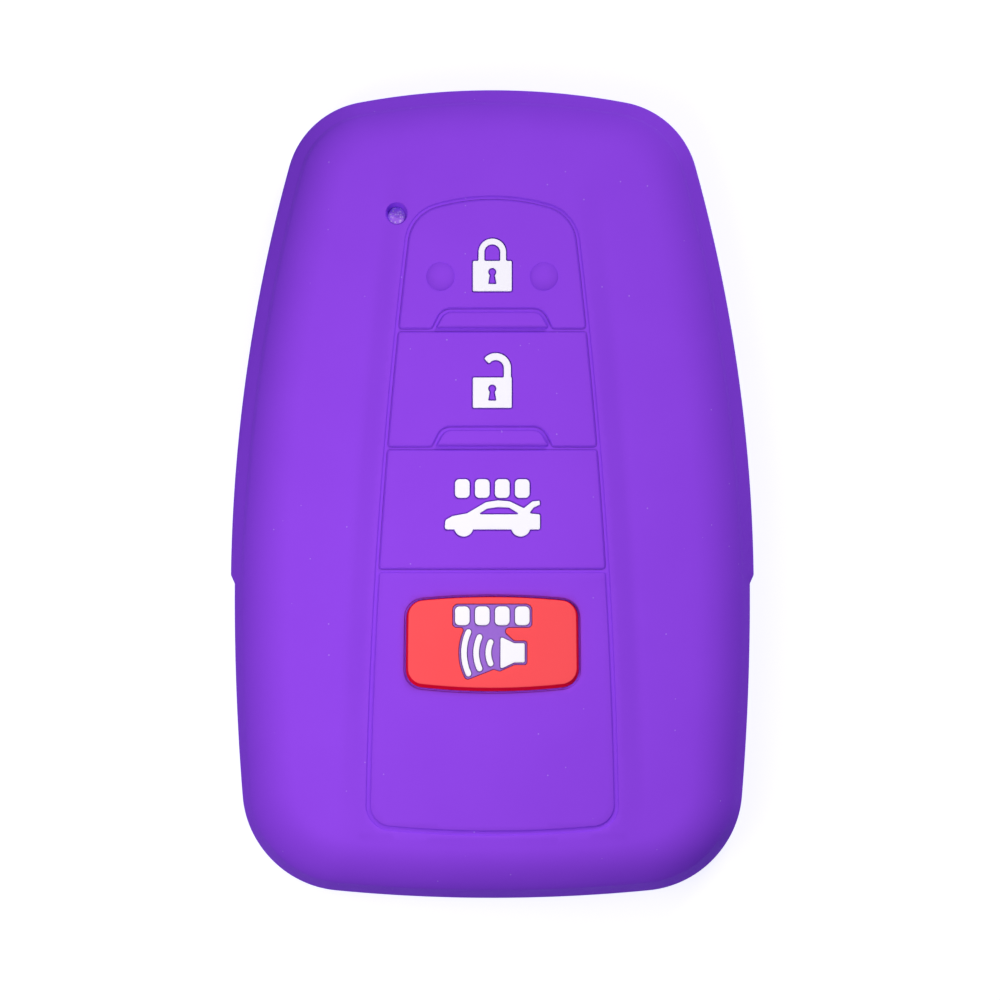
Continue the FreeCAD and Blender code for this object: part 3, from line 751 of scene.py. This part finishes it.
def keyhole(foot_y):
    """Round eye over a flared slot."""
    eye, eye_y = 0.4, foot_y + 1.9
    neck_half, flare_half = 0.25, 0.41
    flare_y, flare_round = foot_y + 0.72, 0.06
    neck = math.degrees(math.asin(neck_half / eye))
    flare = [(-flare_half, flare_y, flare_round), (flare_half, flare_y, flare_round)]
    return rounded(flare + arc(0, eye_y, eye, neck - 90, 270 - neck, 20), symbol_step)


def closed_padlock():
    """Case and shackle in one line; the shackle's window and the keyhole are holes in it."""
    low, high = box("lock_symbol")
    half, foot, case_top = high[0], low[1], low[1] + case_height
    outer, inner = 1.36, 0.78
    bend = high[1] - outer
    line = [(-half, foot, crisp), (half, foot, crisp), (half, case_top, crisp), (outer, case_top, crisp)]
    line += arc(0, bend, outer, 0, 180) + [(-outer, case_top, crisp), (-half, case_top, crisp)]
    window = [(-inner, case_top, crisp), (inner, case_top, crisp)] + arc(0, bend, inner, 0, 180)
    return [rounded(line, symbol_step), rounded(window, symbol_step), keyhole(foot)]


def open_padlock():
    """Case with the shackle swung clear on the left, its free end cut a little off square."""
    low = box("unlock_symbol")[0]
    half, foot, case_top = -low[0], low[1], low[1] + case_height
    outer, inner, x = 1.5, 0.8, 0.34
    bend = case_top + 0.91
    outer_end, outer_tip, inner_tip, inner_end = 126, 140, 145, 120
    tips = [(*on_circle(x, bend, outer, outer_tip), crisp), (*on_circle(x, bend, inner, inner_tip), crisp)]
    line = [(-half, foot, crisp), (half, foot, crisp), (half, case_top, crisp), (x + outer, case_top, crisp)]
    line += arc(x, bend, outer, 0, outer_end) + tips + arc(x, bend, inner, inner_end, 0)
    line += [(x + inner, case_top, crisp), (-half, case_top, crisp)]
    return [rounded(line, symbol_step), keyhole(foot)]


symbols = {"lock_symbol": closed_padlock(), "unlock_symbol": open_padlock()}
print("padlocks:", {name: len(lines) for name, lines in symbols.items()})

# %% Car, loudspeaker and blocks
car_half, car_height = 4.71, 2.84
wheel_radius, wheel_spread, wheel_rise = 0.95, 2.81, 0.25
block_round = 0.45
speaker_low, speaker_high = box("horn_speaker")
horn_y = (speaker_low[1] + speaker_high[1]) / 2
speaker_mouth = speaker_high[1] - horn_y
speaker_neck, speaker_neck_x = 0.95, 2.17
wave_centre = 2.15
wave_first, wave_pitch, wave_bar, wave_half = 2.54, 1.2, 0.57, 24.5


def car():
    """Side view of a saloon with its boot lid up. Corners are x in shares of half its length, y in shares of
    its height over the sill, and a radius in millimetres."""
    sill = box("trunk_symbol")[1][1] - car_height

    def placed(corners):
        """Corners in millimetres."""
        return [(x * car_half, sill + y * car_height, radius) for x, y, radius in corners]

    dip = math.degrees(math.asin(wheel_rise / wheel_radius))
    wheels = [corner for x in (-wheel_spread, wheel_spread)
              for corner in arc(x, sill + wheel_rise, wheel_radius, 180 + dip, 360 - dip)]
    boot = [(1.0, 0.0, 0.15), (1.0, 0.525, 0.15), (0.77, 0.56, 0.1)]
    lid = [(0.87, 0.765, 0.15), (1.0, 0.86, 0.1), (0.99, 1.0, 0.1), (0.84, 0.975, 0.3), (0.66, 0.74, 0.1)]
    roof = [(0.36, 0.98, 0.6), (0.12, 1.01, 0.6), (-0.13, 0.95, 0.6)]
    bonnet = [(-0.53, 0.56, 0.4), (-0.83, 0.47, 0.4), (-0.98, 0.33, 0.3)]
    body = placed([(-1.0, 0.0, 0.25)]) + wheels + placed(boot + lid + roof + bonnet)
    glass = placed([(-0.3, 0.525, 0.08), (0.585, 0.525, 0.08), (0.35, 0.76, 0.15), (0.11, 0.775, 0.3),
                    (-0.11, 0.72, 0.15)])
    return [rounded(body, symbol_step), rounded(glass, symbol_step)]


def speaker():
    """A cone on a square magnet, seen from the side."""
    back, end = speaker_low[0], speaker_high[0]
    half = [(back, -speaker_mouth, 0.15), (speaker_neck_x, -speaker_neck, 0.2), (end, -speaker_neck, 0.15)]
    line = half + [(x, -y, radius) for x, y, radius in reversed(half)]
    return [rounded([(x, horn_y + y, radius) for x, y, radius in line], symbol_step)]


def wave(number):
    """An arc about the speaker's mouth, a bar wide, with round ends."""
    radius = wave_first + number * wave_pitch
    start, end = 180 - wave_half, 180 + wave_half
    head = on_circle(wave_centre, horn_y, radius, start)
    tail = on_circle(wave_centre, horn_y, radius, end)
    line = arc(wave_centre, horn_y, radius + wave_bar / 2, start, end)
    line += arc(*tail, wave_bar / 2, end, end + 180, 10)[1:-1]
    line += arc(wave_centre, horn_y, radius - wave_bar / 2, end, start)
    line += arc(*head, wave_bar / 2, start + 180, start + 360, 10)[1:-1]
    return [rounded(line, symbol_step)]


def block_mark(node):
    """A plain upright block with round corners."""
    (left, bottom, _), (right, top, _) = box(node)
    places = [(left, bottom), (right, bottom), (right, top), (left, top)]
    return [rounded([(*place, block_round) for place in places], symbol_step)]


def numbered(stem, count):
    """Names of numbered nodes: stem_1, stem_2 and so on."""
    return ["%s_%d" % (stem, i + 1) for i in range(count)]


trunk_marks = numbered("trunk_mark", 4)
panic_marks = numbered("panic_mark", 4)
wave_names = numbered("horn_wave", 3)
symbols.update({"trunk_symbol": car(), "horn_speaker": speaker()})
symbols.update({name: wave(i) for i, name in enumerate(wave_names)})
symbols.update({name: block_mark(name) for name in trunk_marks + panic_marks})
carried = {
    "lock_key": ["lock_symbol"],
    "unlock_key": ["unlock_symbol"],
    "trunk_key": ["trunk_symbol"] + trunk_marks,
    "panic_key": ["horn_speaker"] + wave_names + panic_marks,
}
print("symbols on each key:", {key: len(names) for key, names in carried.items()})


# %% [markdown]
# ## The cover's outer wall
# The cover is one closed skin: up the outer wall and over the rolled rim to the front, down into the groove
# of the key panel, through the openings of the keys to the ceiling of the pocket, down its wall to the lip,
# and out through the mouth to the back. Round the top and sides the wall bulges into a band. A second solid
# joined on would leave a hard seam, so a weight along the outline blends the banded profile into the plain
# one.

# %% Profiles of the outer wall
rim_radius = 5.0
roll_inset = 5.5
band_foot_z = 4.2
band_low_z = 3.3
band_least = 0.25
back_round = 3.0
band_end_y, band_end_run = -8.85, 0.85
slope_start_y, slope_run, slope_at_band = -9.0, 13.0, 0.35
foot_start_y, foot_run, foot_turn = -31.0, 5.0, 6.0

outline_y = grown(cover_line, 0.0)[:, 1]
band_weight = np.clip((outline_y - band_end_y) / band_end_run, 0, 1)
slope_weight = smooth_step((outline_y - slope_start_y) / slope_run)
slope_weight = slope_at_band * band_weight + (1 - slope_at_band) * slope_weight
foot_weight = smooth_step((foot_start_y - outline_y) / foot_run)


def along_band(plain_size, banded_size):
    """A size along the outline: plain below the waist, and blended into the banded one above it."""
    return plain_size + (banded_size - plain_size) * slope_weight


band_out = band_proud * band_weight
wall_tilt = along_band(73.0, 62.0)
roll_tilt = np.radians(wall_tilt - foot_turn * foot_weight)
skirt_tilt = np.radians(wall_tilt + foot_turn * foot_weight)
crease_width = along_band(0.03, 0.25)
crease_drop = along_band(0.1, 0.95)
edge_run = along_band(0.12, 0.3)


def outer_profile():
    """Rings of (inset, height) from the front to the back: a quarter round that stops short of upright, a
    small steep crease, a straight skirt, a rounded edge, an upright wall, the underside of the band and the
    back round."""
    rings = []

    def add(inset, drop):
        """A ring at this inset from the outline and this far below the barrel."""
        x, y = grown(cover_line, -inset).T
        rings.append((inset, barrel(x, y) - drop))

    for share in np.linspace(0, 1, 14):
        angle = share * roll_tilt
        add(roll_inset - rim_radius * np.sin(angle), rim_radius * (1 - np.cos(angle)))
    inset = roll_inset - rim_radius * np.sin(roll_tilt)
    drop = rim_radius * (1 - np.cos(roll_tilt))
    for share in (0.2, 0.5, 0.8):
        add(inset - crease_width * share, drop + crease_drop * share)
    inset = inset - crease_width
    drop = drop + crease_drop
    run = inset + band_out - edge_run
    for share in (0.0, 0.1, 0.3, 0.55, 0.8, 1.0):
        add(inset - run * share, drop + run * share * np.tan(skirt_tilt))
    drop = drop + run * np.tan(skirt_tilt)
    edge_radius = edge_run / (1 - np.sin(skirt_tilt))
    for share in np.linspace(0.2, 1, 5):
        angle = skirt_tilt + (math.pi / 2 - skirt_tilt) * share
        add(edge_run - band_out - edge_radius * (np.sin(angle) - np.sin(skirt_tilt)),
            drop + edge_radius * (np.cos(skirt_tilt) - np.cos(angle)))
    top = rings[-1][1]
    foot = np.minimum(band_foot_z, top - band_least)
    rings.extend((-band_out, top + (foot - top) * share) for share in (0.33, 0.67, 1.0))
    rings.extend((-band_out * math.cos(a), foot - (foot - band_low_z) * math.sin(a)) for a in quarter(6)[1:])
    rings.extend((back_round * (1 - math.cos(a)), back_round * (1 - math.sin(a))) for a in quarter(10))
    return rings


cover = Moulding()
outer_rings = [cover.ring(grown(cover_line, -inset), height) for inset, height in outer_profile()]
cover.strip(*reversed(outer_rings))
print("rings on the outer wall:", len(outer_rings), "banded share:", round(float(band_weight.mean()), 2))


# %% [markdown]
# ## Grooves and soft edges
# A steel mould has no knife edges, so each groove sinks by a soft step and each face ends in a small round.
# A bevel would do that on a plain box, but not where rings meet a curved front. Two functions lay the rings
# of such an edge, for any outline that can be moved in and out.

# %% Grooves and soft edges
groove_depth, groove_run = 0.2, 0.18


def groove_walls(mould, line_at, top, depth, outward, run=groove_run):
    """Rings from the front down into a groove: a smooth step, run wide and depth high. outward is 1 where
    the groove lies inside the line, and -1 where it lies outside. Returned from the top down."""
    def height(share):
        return lambda x, y: top(x, y) - (top(x, y) - front(x, y) + depth) * smooth_step(share)
    shares = np.linspace(0, 1, 7)
    return [mould.ring(line_at(outward * run * (1 - share)), height(share)) for share in shares]


def edge_round(mould, line_at, top, radius, count):
    """Rings of a quarter round from a wall up to its face: radius (1 - cos) in and radius (1 - sin) down."""
    return [mould.ring(line_at(radius * (1 - math.cos(a))), sunk(top, radius * (1 - math.sin(a))))
            for a in quarter(count)]


def of_chain(chain, distance):
    """An arc outline at a distance, as a function of how far it moves out from there."""
    return lambda extra: grown(chain, distance + extra)


def of_line(line):
    """A closed line, as a function of how far it moves out."""
    return lambda extra: offset(line, extra)


panel_rings = groove_walls(cover, of_chain(panel_line, groove_half), front, groove_depth, 1)
cover.strip(*panel_rings)
print("points with the panel's groove:", cover.count)


# %% [markdown]
# ## Recess of the light window
# Over the fob's lamp the cover is thinned to a small round recess. In the mould this is a pin, which leans
# a little and is cut off at a slant, so the floor runs from shallow to deep. Rings at shares of the depth
# follow it, and the front is filled round the recess and the panel.

# %% Recess of the light window
window_x, window_y = -9.45, 27.7
window_radius, window_edge = 1.08, 0.06
window_floor, window_lean = 0.86, 0.21
window_deep, window_shallow = 1.5, 0.3


def window_line(radius, share, count=72):
    """Circle of the light window at a share of its depth: it leans towards the keys as it goes down."""
    angle = np.linspace(0, 2 * math.pi, count, endpoint=False)
    y = window_y - window_lean * share
    return np.column_stack([window_x + radius * np.cos(angle), y + radius * np.sin(angle)])


def window_height(share, lift=0.0):
    """The front lowered by a share of the recess, whose floor runs from shallow at its foot to deep at its
    head."""
    def height(x, y):
        rise = np.clip((y - window_y + window_lean) / (2 * window_floor) + 0.5, 0, 1)
        depth = window_shallow + (window_deep - window_shallow) * rise
        return front(x, y) - window_edge - (depth - window_edge) * share + lift
    return height


window_rings = edge_round(cover, lambda outset: window_line(window_radius + outset, 0.0), front,
                          window_edge, 5)[::-1]
window_rings += [cover.ring(window_line(window_radius + (window_floor - window_radius) * share, share),
                            window_height(share)) for share in (0.33, 0.67, 1.0)]
cover.strip(*window_rings)
cover.fill(window_rings[-1], [], window_height(1.0), spacing=0.3)
cover.fill(outer_rings[0], [panel_rings[0], window_rings[0]], front, spacing=0.5)
print("points with the light window:", cover.count)


# %% [markdown]
# ## Panel, thumb tabs and openings
# Inside the panel the cover shows as the floor of the grooves, as two thumb tabs and as the field round the
# red pad. The tabs tilt up towards their foot, where a thumb finds them, and roll over. The keys could be
# drawn on one skin, but they have to move, so each has a real opening with a hairline gap.

# %% Lower field and thumb tabs
corner_room = 0.6
tab_rise, tab_roll, tab_fall = 0.42, 0.42, 0.6

lower_y = trunk_foot - groove_half
lower_x = panel_edge(lower_y)
lower_side = grown(panel_line, -groove_half)
lower_side = opened(lower_side[lower_side[:, 1] < lower_y - corner_room])
lower_line = rounded([(lower_x, lower_y, key_corner), (-lower_x, lower_y, key_corner)] + plain(lower_side),
                     line_step)
lower_rings = groove_walls(cover, of_line(lower_line), front, groove_depth, -1)
cover.strip(*reversed(lower_rings))


def tab_top(foot_y):
    """The front, tilted up towards the foot of a thumb tab and rolled over just before it."""
    low = foot_y + groove_half

    def height(x, y):
        rise = tab_rise * np.clip(1 - (y - low) / tab_length, 0, 1)
        roll = tab_fall * np.clip(1 - (y - low) / tab_roll, 0, 1) ** 2
        return front(x, y) + rise - roll

    return height


tab_feet = []
for foot in (lock_foot, unlock_foot):
    line = rounded(tab_corners(foot, 0.0, tab_foot_round), line_step)
    rings = groove_walls(cover, of_line(line), tab_top(foot), groove_depth, -1)
    cover.strip(*reversed(rings))
    cover.fill(rings[0], [], tab_top(foot), spacing=0.2)
    tab_feet.append(rings[-1])
print("points with the thumb tabs:", cover.count)

# %% Openings of the keys
key_gap = 0.03
pad_groove, pad_ring, pad_ring_run = 0.27, 0.12, 0.12

opening_tops = {name: cover.ring(offset(line, key_gap), sunk(front, groove_depth))
                for name, line in key_lines.items() if name != "panic_key"}
cover.fill(panel_rings[-1], [*opening_tops.values(), *tab_feet, lower_rings[-1]], sunk(front, groove_depth),
           spacing=0.3)

pad_rings = groove_walls(cover, of_chain(pad_line, pad_ring), front, pad_groove, 1, pad_ring_run)
cover.strip(*pad_rings)
cover.fill(lower_rings[0], [pad_rings[0]], front, spacing=0.5)
opening_tops["panic_key"] = cover.ring(grown(pad_line, key_gap), sunk(front, pad_groove))
cover.strip(pad_rings[-1], opening_tops["panic_key"])

opening_feet = {name: cover.ring(offset(line, key_gap), ceiling) for name, line in key_lines.items()}
for name, top in opening_tops.items():
    cover.strip(top, opening_feet[name])
print("openings:", list(opening_feet))


# %% [markdown]
# ## Pocket, lip and mouth
# The fob lies in a pocket with rolled edges. A flat lip on the back holds it in, and stretches when the fob
# is pushed in by the mouth. A shell modifier would give one even wall, but the front, sides and lip differ
# in thickness, so the inner skin has its own profile on the same outline.

# %% Pocket, lip and mouth
side_wall, inner_roll = 1.8, 3.7
lip, lip_width, lip_round, lip_edge = 1.6, 5.6, 1.2, 0.3
mouth_corner, mouth_round = 6.0, 0.6

inner_rings = []
for a in quarter(9):
    line = grown(cover_line, -side_wall - inner_roll * (1 - math.sin(a)))
    inner_rings.append(cover.ring(line, sunk(ceiling, inner_roll * (1 - math.cos(a)))))
for a in quarter(6):
    line = grown(cover_line, -side_wall - lip_round * (1 - math.cos(a)))
    inner_rings.append(cover.ring(line, lip + lip_round * (1 - math.sin(a))))
cover.strip(*inner_rings)
cover.fill(inner_rings[0], list(opening_feet.values()), ceiling, spacing=1.0, down=True)

mouth_inset = side_wall + lip_width
mouth_sides = [(*side_below[:2], below_radius - mouth_inset, 0.0, side_step),
               (*side_above[:2], above_radius - mouth_inset, None, side_step)]
mouth_line = arc_chain((0, top_y - top_radius, top_radius - mouth_inset), mouth_sides,
                       (0, bottom_y + bottom_radius, bottom_radius - mouth_inset),
                       mouth_corner, mouth_corner, outline_step)
mouth_rings = []
for a in quarter(4):
    line = grown(mouth_line, lip_edge * (1 - math.sin(a)))
    mouth_rings.append(cover.ring(line, lip - lip_edge * (1 - math.cos(a))))
for a in quarter(6):
    line = grown(mouth_line, mouth_round * (1 - math.cos(a)))
    mouth_rings.append(cover.ring(line, mouth_round * (1 - math.sin(a))))
cover.strip(*mouth_rings)
cover.fill(inner_rings[-1], [mouth_rings[0]], lip, spacing=1.2)
cover.fill(outer_rings[-1], [mouth_rings[-1]], 0.0, spacing=1.2, down=True)
cover.piece("silicone_cover", "cover", "purple_silicone", purple, "cover_body")


# %% [markdown]
# ## Floor of the light window
# The floor of the recess is left rough, so that the light spreads. A bump texture alone would cast no
# shadows, so the grains are real: a polar grid lifted by seeded random bumps.

# %% Floor of the light window
seat_play = 0.02
disc_lift, disc_middle_lift, disc_under_lift = 0.06, 0.1, 0.01


def frosted_disc(radius, rings=9, sectors=40, grain=0.12):
    """Heights on a polar grid: seeded bumps of up to the grain size, times 1 - (r / radius)^6, which fades
    them out at the rim."""
    dice = np.random.default_rng(7)
    r = np.linspace(0, 1, rings)[1:, None] * radius
    angle = np.linspace(0, 2 * math.pi, sectors, endpoint=False)[None, :]
    x, y = r * np.cos(angle), r * np.sin(angle)
    bumps = dice.random(x.shape) * grain * (1 - (r / radius) ** 6)
    return x, y, bumps


window = Moulding()
disc_x, disc_y, bumps = frosted_disc(window_floor - seat_play)
disc_x, disc_y = disc_x + window_x, disc_y + window_y - window_lean
disc_rings = [window.ring(np.column_stack([x, y]), window_height(1.0, disc_lift)(x, y) + bump)
              for x, y, bump in zip(disc_x, disc_y, bumps)]
disc_under = window.ring(np.column_stack([disc_x[-1], disc_y[-1]]), window_height(1.0, disc_under_lift))
window.strip(disc_under, *reversed(disc_rings))
window.fill(disc_rings[0], [], window_height(1.0, disc_middle_lift), spacing=0.2)
window.fill(disc_under, [], window_height(1.0, disc_under_lift), spacing=0.5, down=True)
# Its material is painted paler, as light shining through, with bright specks of painted sparkle.
window.piece("light_window_floor", "cover", "purple_silicone", frosted_painted_glow)


# %% [markdown]
# ## Keys
# A key is the panel's own front, cut free: a flange under the front wall, a wall, an edge that is the other
# side of the groove, and a top with a shallow recess for each white symbol. Symbols laid on top would look
# stuck on. The recess is a hair wider than the symbol, and that gap draws the thin dark line round it.

# %% Key builder
flange_width, flange_height = 0.09, 0.2
symbol_gap = 0.12
symbol_seat = 0.3


def recess(mould, lines, height, gap):
    """Cuts a symbol's seat: walls down from the face, a floor, and a pillar for each hole in the symbol."""
    edge = stand_off(lines[0], gap, symbol_step)
    top = mould.ring(edge, height)
    feet = [mould.ring(edge, sunk(height, symbol_seat))]
    mould.strip(top, feet[0])
    for hole in lines[1:]:
        pillar = stand_off(hole, -gap, symbol_step)
        foot = mould.ring(pillar, sunk(height, symbol_seat))
        pillar_top = mould.ring(pillar, height)
        mould.strip(foot, pillar_top)
        mould.fill(pillar_top, [], height, spacing=0.3)
        feet.append(foot)
    mould.fill(feet[0], feet[1:], sunk(height, symbol_seat), spacing=0.3)
    return top


def key_foot(mould, line):
    """Underside of a key and the flange that catches under the front wall: rings up to the foot of its
    wall."""
    foot = mould.ring(offset(line, flange_width), sunk(ceiling, flange_height))
    mould.fill(foot, [], sunk(ceiling, flange_height), spacing=0.8, down=True)
    flange = [mould.ring(offset(line, grow), sunk(ceiling, seat_play)) for grow in (flange_width, 0.0)]
    return [foot] + flange


def key_piece(name, body, height, extra=None):
    """Foot, wall, soft edge and top of a key, with its symbols' seats."""
    mould = Moulding()
    line = key_lines[name]
    foot = key_foot(mould, line)
    rounds = groove_walls(mould, of_line(line), height, groove_depth, -1)[::-1]
    mould.strip(*foot, *rounds)
    seats = [recess(mould, symbols[symbol], height, symbol_gap) for symbol in carried[name]]
    mould.fill(rounds[-1], seats, height, spacing=0.35, extra=extra)
    return mould.piece(name + "_silicone", body, "purple_silicone", purple, name)


print("flange under the front wall:", flange_width, "by", flange_height, "mm")


# %% [markdown]
# ## Lock key with its two domes
# Two low domes beside the padlock let a thumb know this key. The even grid of the top is too coarse for
# them, so rings of points, closer towards the rim, take its place there.

# %% Lock key
dome_radius, dome_height, dome_power = 1.4, 0.55, 0.8
dome_x, dome_y = 5.1, 21.48
dome_clear = 0.15


def domed_front(x, y):
    """The front with two low domes: height times (1 - (distance / radius)^2) to a power under 1, so that
    they are steepest at the rim."""
    away = np.minimum(np.hypot(x - dome_x, y - dome_y), np.hypot(x + dome_x, y - dome_y))
    return front(x, y) + dome_height * np.clip(1 - (away / dome_radius) ** 2, 0, 1) ** dome_power


ring_radius = np.sin(np.linspace(0.1, math.pi / 2, 11))[:, None] * dome_radius
ring_angle = np.linspace(0, 2 * math.pi, 36, endpoint=False)[None, :]
dome = np.stack([ring_radius * np.cos(ring_angle), ring_radius * np.sin(ring_angle)], axis=-1).reshape(-1, 2)
dome_places = np.array([(dome_x, dome_y), (-dome_x, dome_y)])
dome_spots = np.concatenate([dome + place for place in dome_places])
key_piece("lock_key", "lock_button", domed_front, (dome_places, dome_radius + dome_clear, dome_spots))

# %% Unlock key and trunk key
key_piece("unlock_key", "unlock_button", front)
key_piece("trunk_key", "trunk_button", front)


# %% [markdown]
# ## Panic key and its red pad
# The fourth key has a purple base, and red silicone is cast over it, standing proud of the front with a
# sloping wall. An island of the base shows through the red, and carries the blocks, the waves and the
# speaker. The red could be painted on, but the real one is a second shot with its own edges, so it is its
# own piece.

# %% Island in the red pad
island_margin = 0.25
island_gap = 0.085
island_sink = 0.08
island_play, island_round = 0.05, 0.06
fan_tail, fan_trim = 5.5, 8
pad_proud = 0.5


def pad_top(x, y):
    """The front raised to the top of the red pad."""
    return front(x, y) + pad_proud


def island_line(grow):
    """Outline of the island: the row of blocks, the fan of the waves and the speaker, with a margin."""
    left, row_foot = box(panic_marks[0])[0][:2] - island_margin
    right, row_head = box(panic_marks[-1])[1][:2] + island_margin
    fan = wave_first + 2 * wave_pitch + wave_bar / 2 + island_margin
    fan_top = 180 - math.degrees(math.asin((row_foot - horn_y) / fan))
    fan_low = 180 + wave_half + fan_tail
    mouth, neck = speaker_mouth + island_margin, speaker_neck + island_margin
    back, end = speaker_low[0] - 0.05, speaker_high[0] + island_margin
    corners = [(left, row_head, 0.6), (left, row_foot, 0.4)]
    corners += [(*on_circle(wave_centre, horn_y, fan, fan_top), 0.3)]
    corners += arc(wave_centre, horn_y, fan, fan_top + fan_trim, fan_low - fan_trim, 16)
    corners += [(*on_circle(wave_centre, horn_y, fan, fan_low), 0.35)]
    corners += [(back - 0.6, horn_y - mouth + 0.2, 0.2), (back, horn_y - mouth, 0.2)]
    corners += [(speaker_neck_x, horn_y - neck, 0.3), (end, horn_y - neck, 0.3)]
    corners += [(end, horn_y + neck, 0.3), (speaker_neck_x, horn_y + neck, 0.3), (back, row_foot, 0.35)]
    corners += [(right, row_foot, 0.4), (right, row_head, 0.6)]
    return offset(rounded(corners, symbol_step), grow)


island_top = sunk(pad_top, island_sink)
print("points on the island's outline:", len(island_line(0.0)))


# %% Base of the panic key
def mark_painted_shade_and_tone(piece, where):
    """Writes a point attribute on a piece for the second colour of its material: 1 at the given points, 0
    elsewhere.
    """
    layer = piece.data.attributes.new("painted_shade_and_tone", "FLOAT", "POINT")
    layer.data.foreach_set("value", where.astype(float))


base = Moulding()
base_foot = key_foot(base, key_lines["panic_key"])
base_rim = base.ring(key_lines["panic_key"], sunk(front, pad_groove))
base.strip(*base_foot, base_rim)
island_foot = base.ring(island_line(-island_play), sunk(front, pad_groove))
base.fill(base_rim, [island_foot], sunk(front, pad_groove), spacing=0.6)
island_start = base.count
island_rims = edge_round(base, lambda inset: island_line(-island_play - inset), island_top, island_round, 3)
base.strip(island_foot, *island_rims)
island_seats = [recess(base, symbols[name], island_top, island_gap) for name in carried["panic_key"]]
base.fill(island_rims[-1], island_seats, island_top, spacing=0.3)
base_piece = base.piece("panic_key_silicone", "panic_button", "purple_silicone", purple, "panic_key")
# The island takes the greyer purple.
mark_painted_shade_and_tone(base_piece, np.arange(base.count) >= island_start)

# %% Red pad
pad_draft = 0.2
pad_lean = 0.14
pad_edge, hole_edge = 0.1, 0.08


def pad_line_at(inset):
    """Top outline of the pad: drawn in by its draft, and leaning a little towards the lock key."""
    return grown(pad_line, -pad_draft - inset) + (0, pad_lean)


pad = Moulding()
pad_floor = sunk(front, pad_groove - seat_play)
pad_foot = pad.ring(grown(pad_line, -seat_play), pad_floor)
pad_wall = edge_round(pad, pad_line_at, pad_top, pad_edge, 6)
pad.strip(pad_foot, *pad_wall)
hole_rims = edge_round(pad, island_line, pad_top, hole_edge, 4)[::-1]
hole_foot = pad.ring(island_line(0.0), pad_floor)
pad.strip(*hole_rims, hole_foot)
pad.fill(pad_wall[-1], [hole_rims[0]], pad_top, spacing=0.4)
pad.fill(pad_foot, [hole_foot], pad_floor, spacing=0.8, down=True)
pad_piece = pad.piece("red_panic_pad", "panic_button", "red_silicone", red, "panic_pad")
# The foot and lower round of the pad's wall take the deeper red: painted shade at the foot of the wall.
mark_painted_shade_and_tone(pad_piece, np.isin(np.arange(pad.count), np.concatenate([pad_foot] + pad_wall[:3])))


# %% [markdown]
# ## White symbols
# Each symbol is a small plate of white silicone with a softened edge, seated in its recess and standing a
# hair proud. Text or curve objects could be raised for it, but the plate has to follow the curved front.
# Holes in its outline are walls of the same plate.

# %% White symbols
symbol_proud = 0.15
symbol_edge = 0.07


def symbol_piece(name, body, height):
    """Floor, walls, rounded edges and top of a white plate."""
    mould = Moulding()
    floor_height = sunk(height, symbol_seat - seat_play)
    top_height = sunk(height, -symbol_proud)
    feet, rims = [], []
    for index, line in enumerate(symbols[name]):
        inward = -1 if index == 0 else 1
        feet.append(mould.ring(line, floor_height))
        rounds = edge_round(mould, lambda inset: offset(line, inward * inset), top_height, symbol_edge, 4)
        path = [feet[-1]] + rounds
        mould.strip(*(path if index == 0 else path[::-1]))
        rims.append(rounds[-1])
    mould.fill(rims[0], rims[1:], top_height, spacing=0.3)
    mould.fill(feet[0], feet[1:], floor_height, spacing=0.4, down=True)
    return mould.piece(name + "_white", body, "white_silicone", white_silicone, name)


for key, names in carried.items():
    for name in names:
        symbol_piece(name, key.replace("key", "button"), island_top if key == "panic_key" else front)
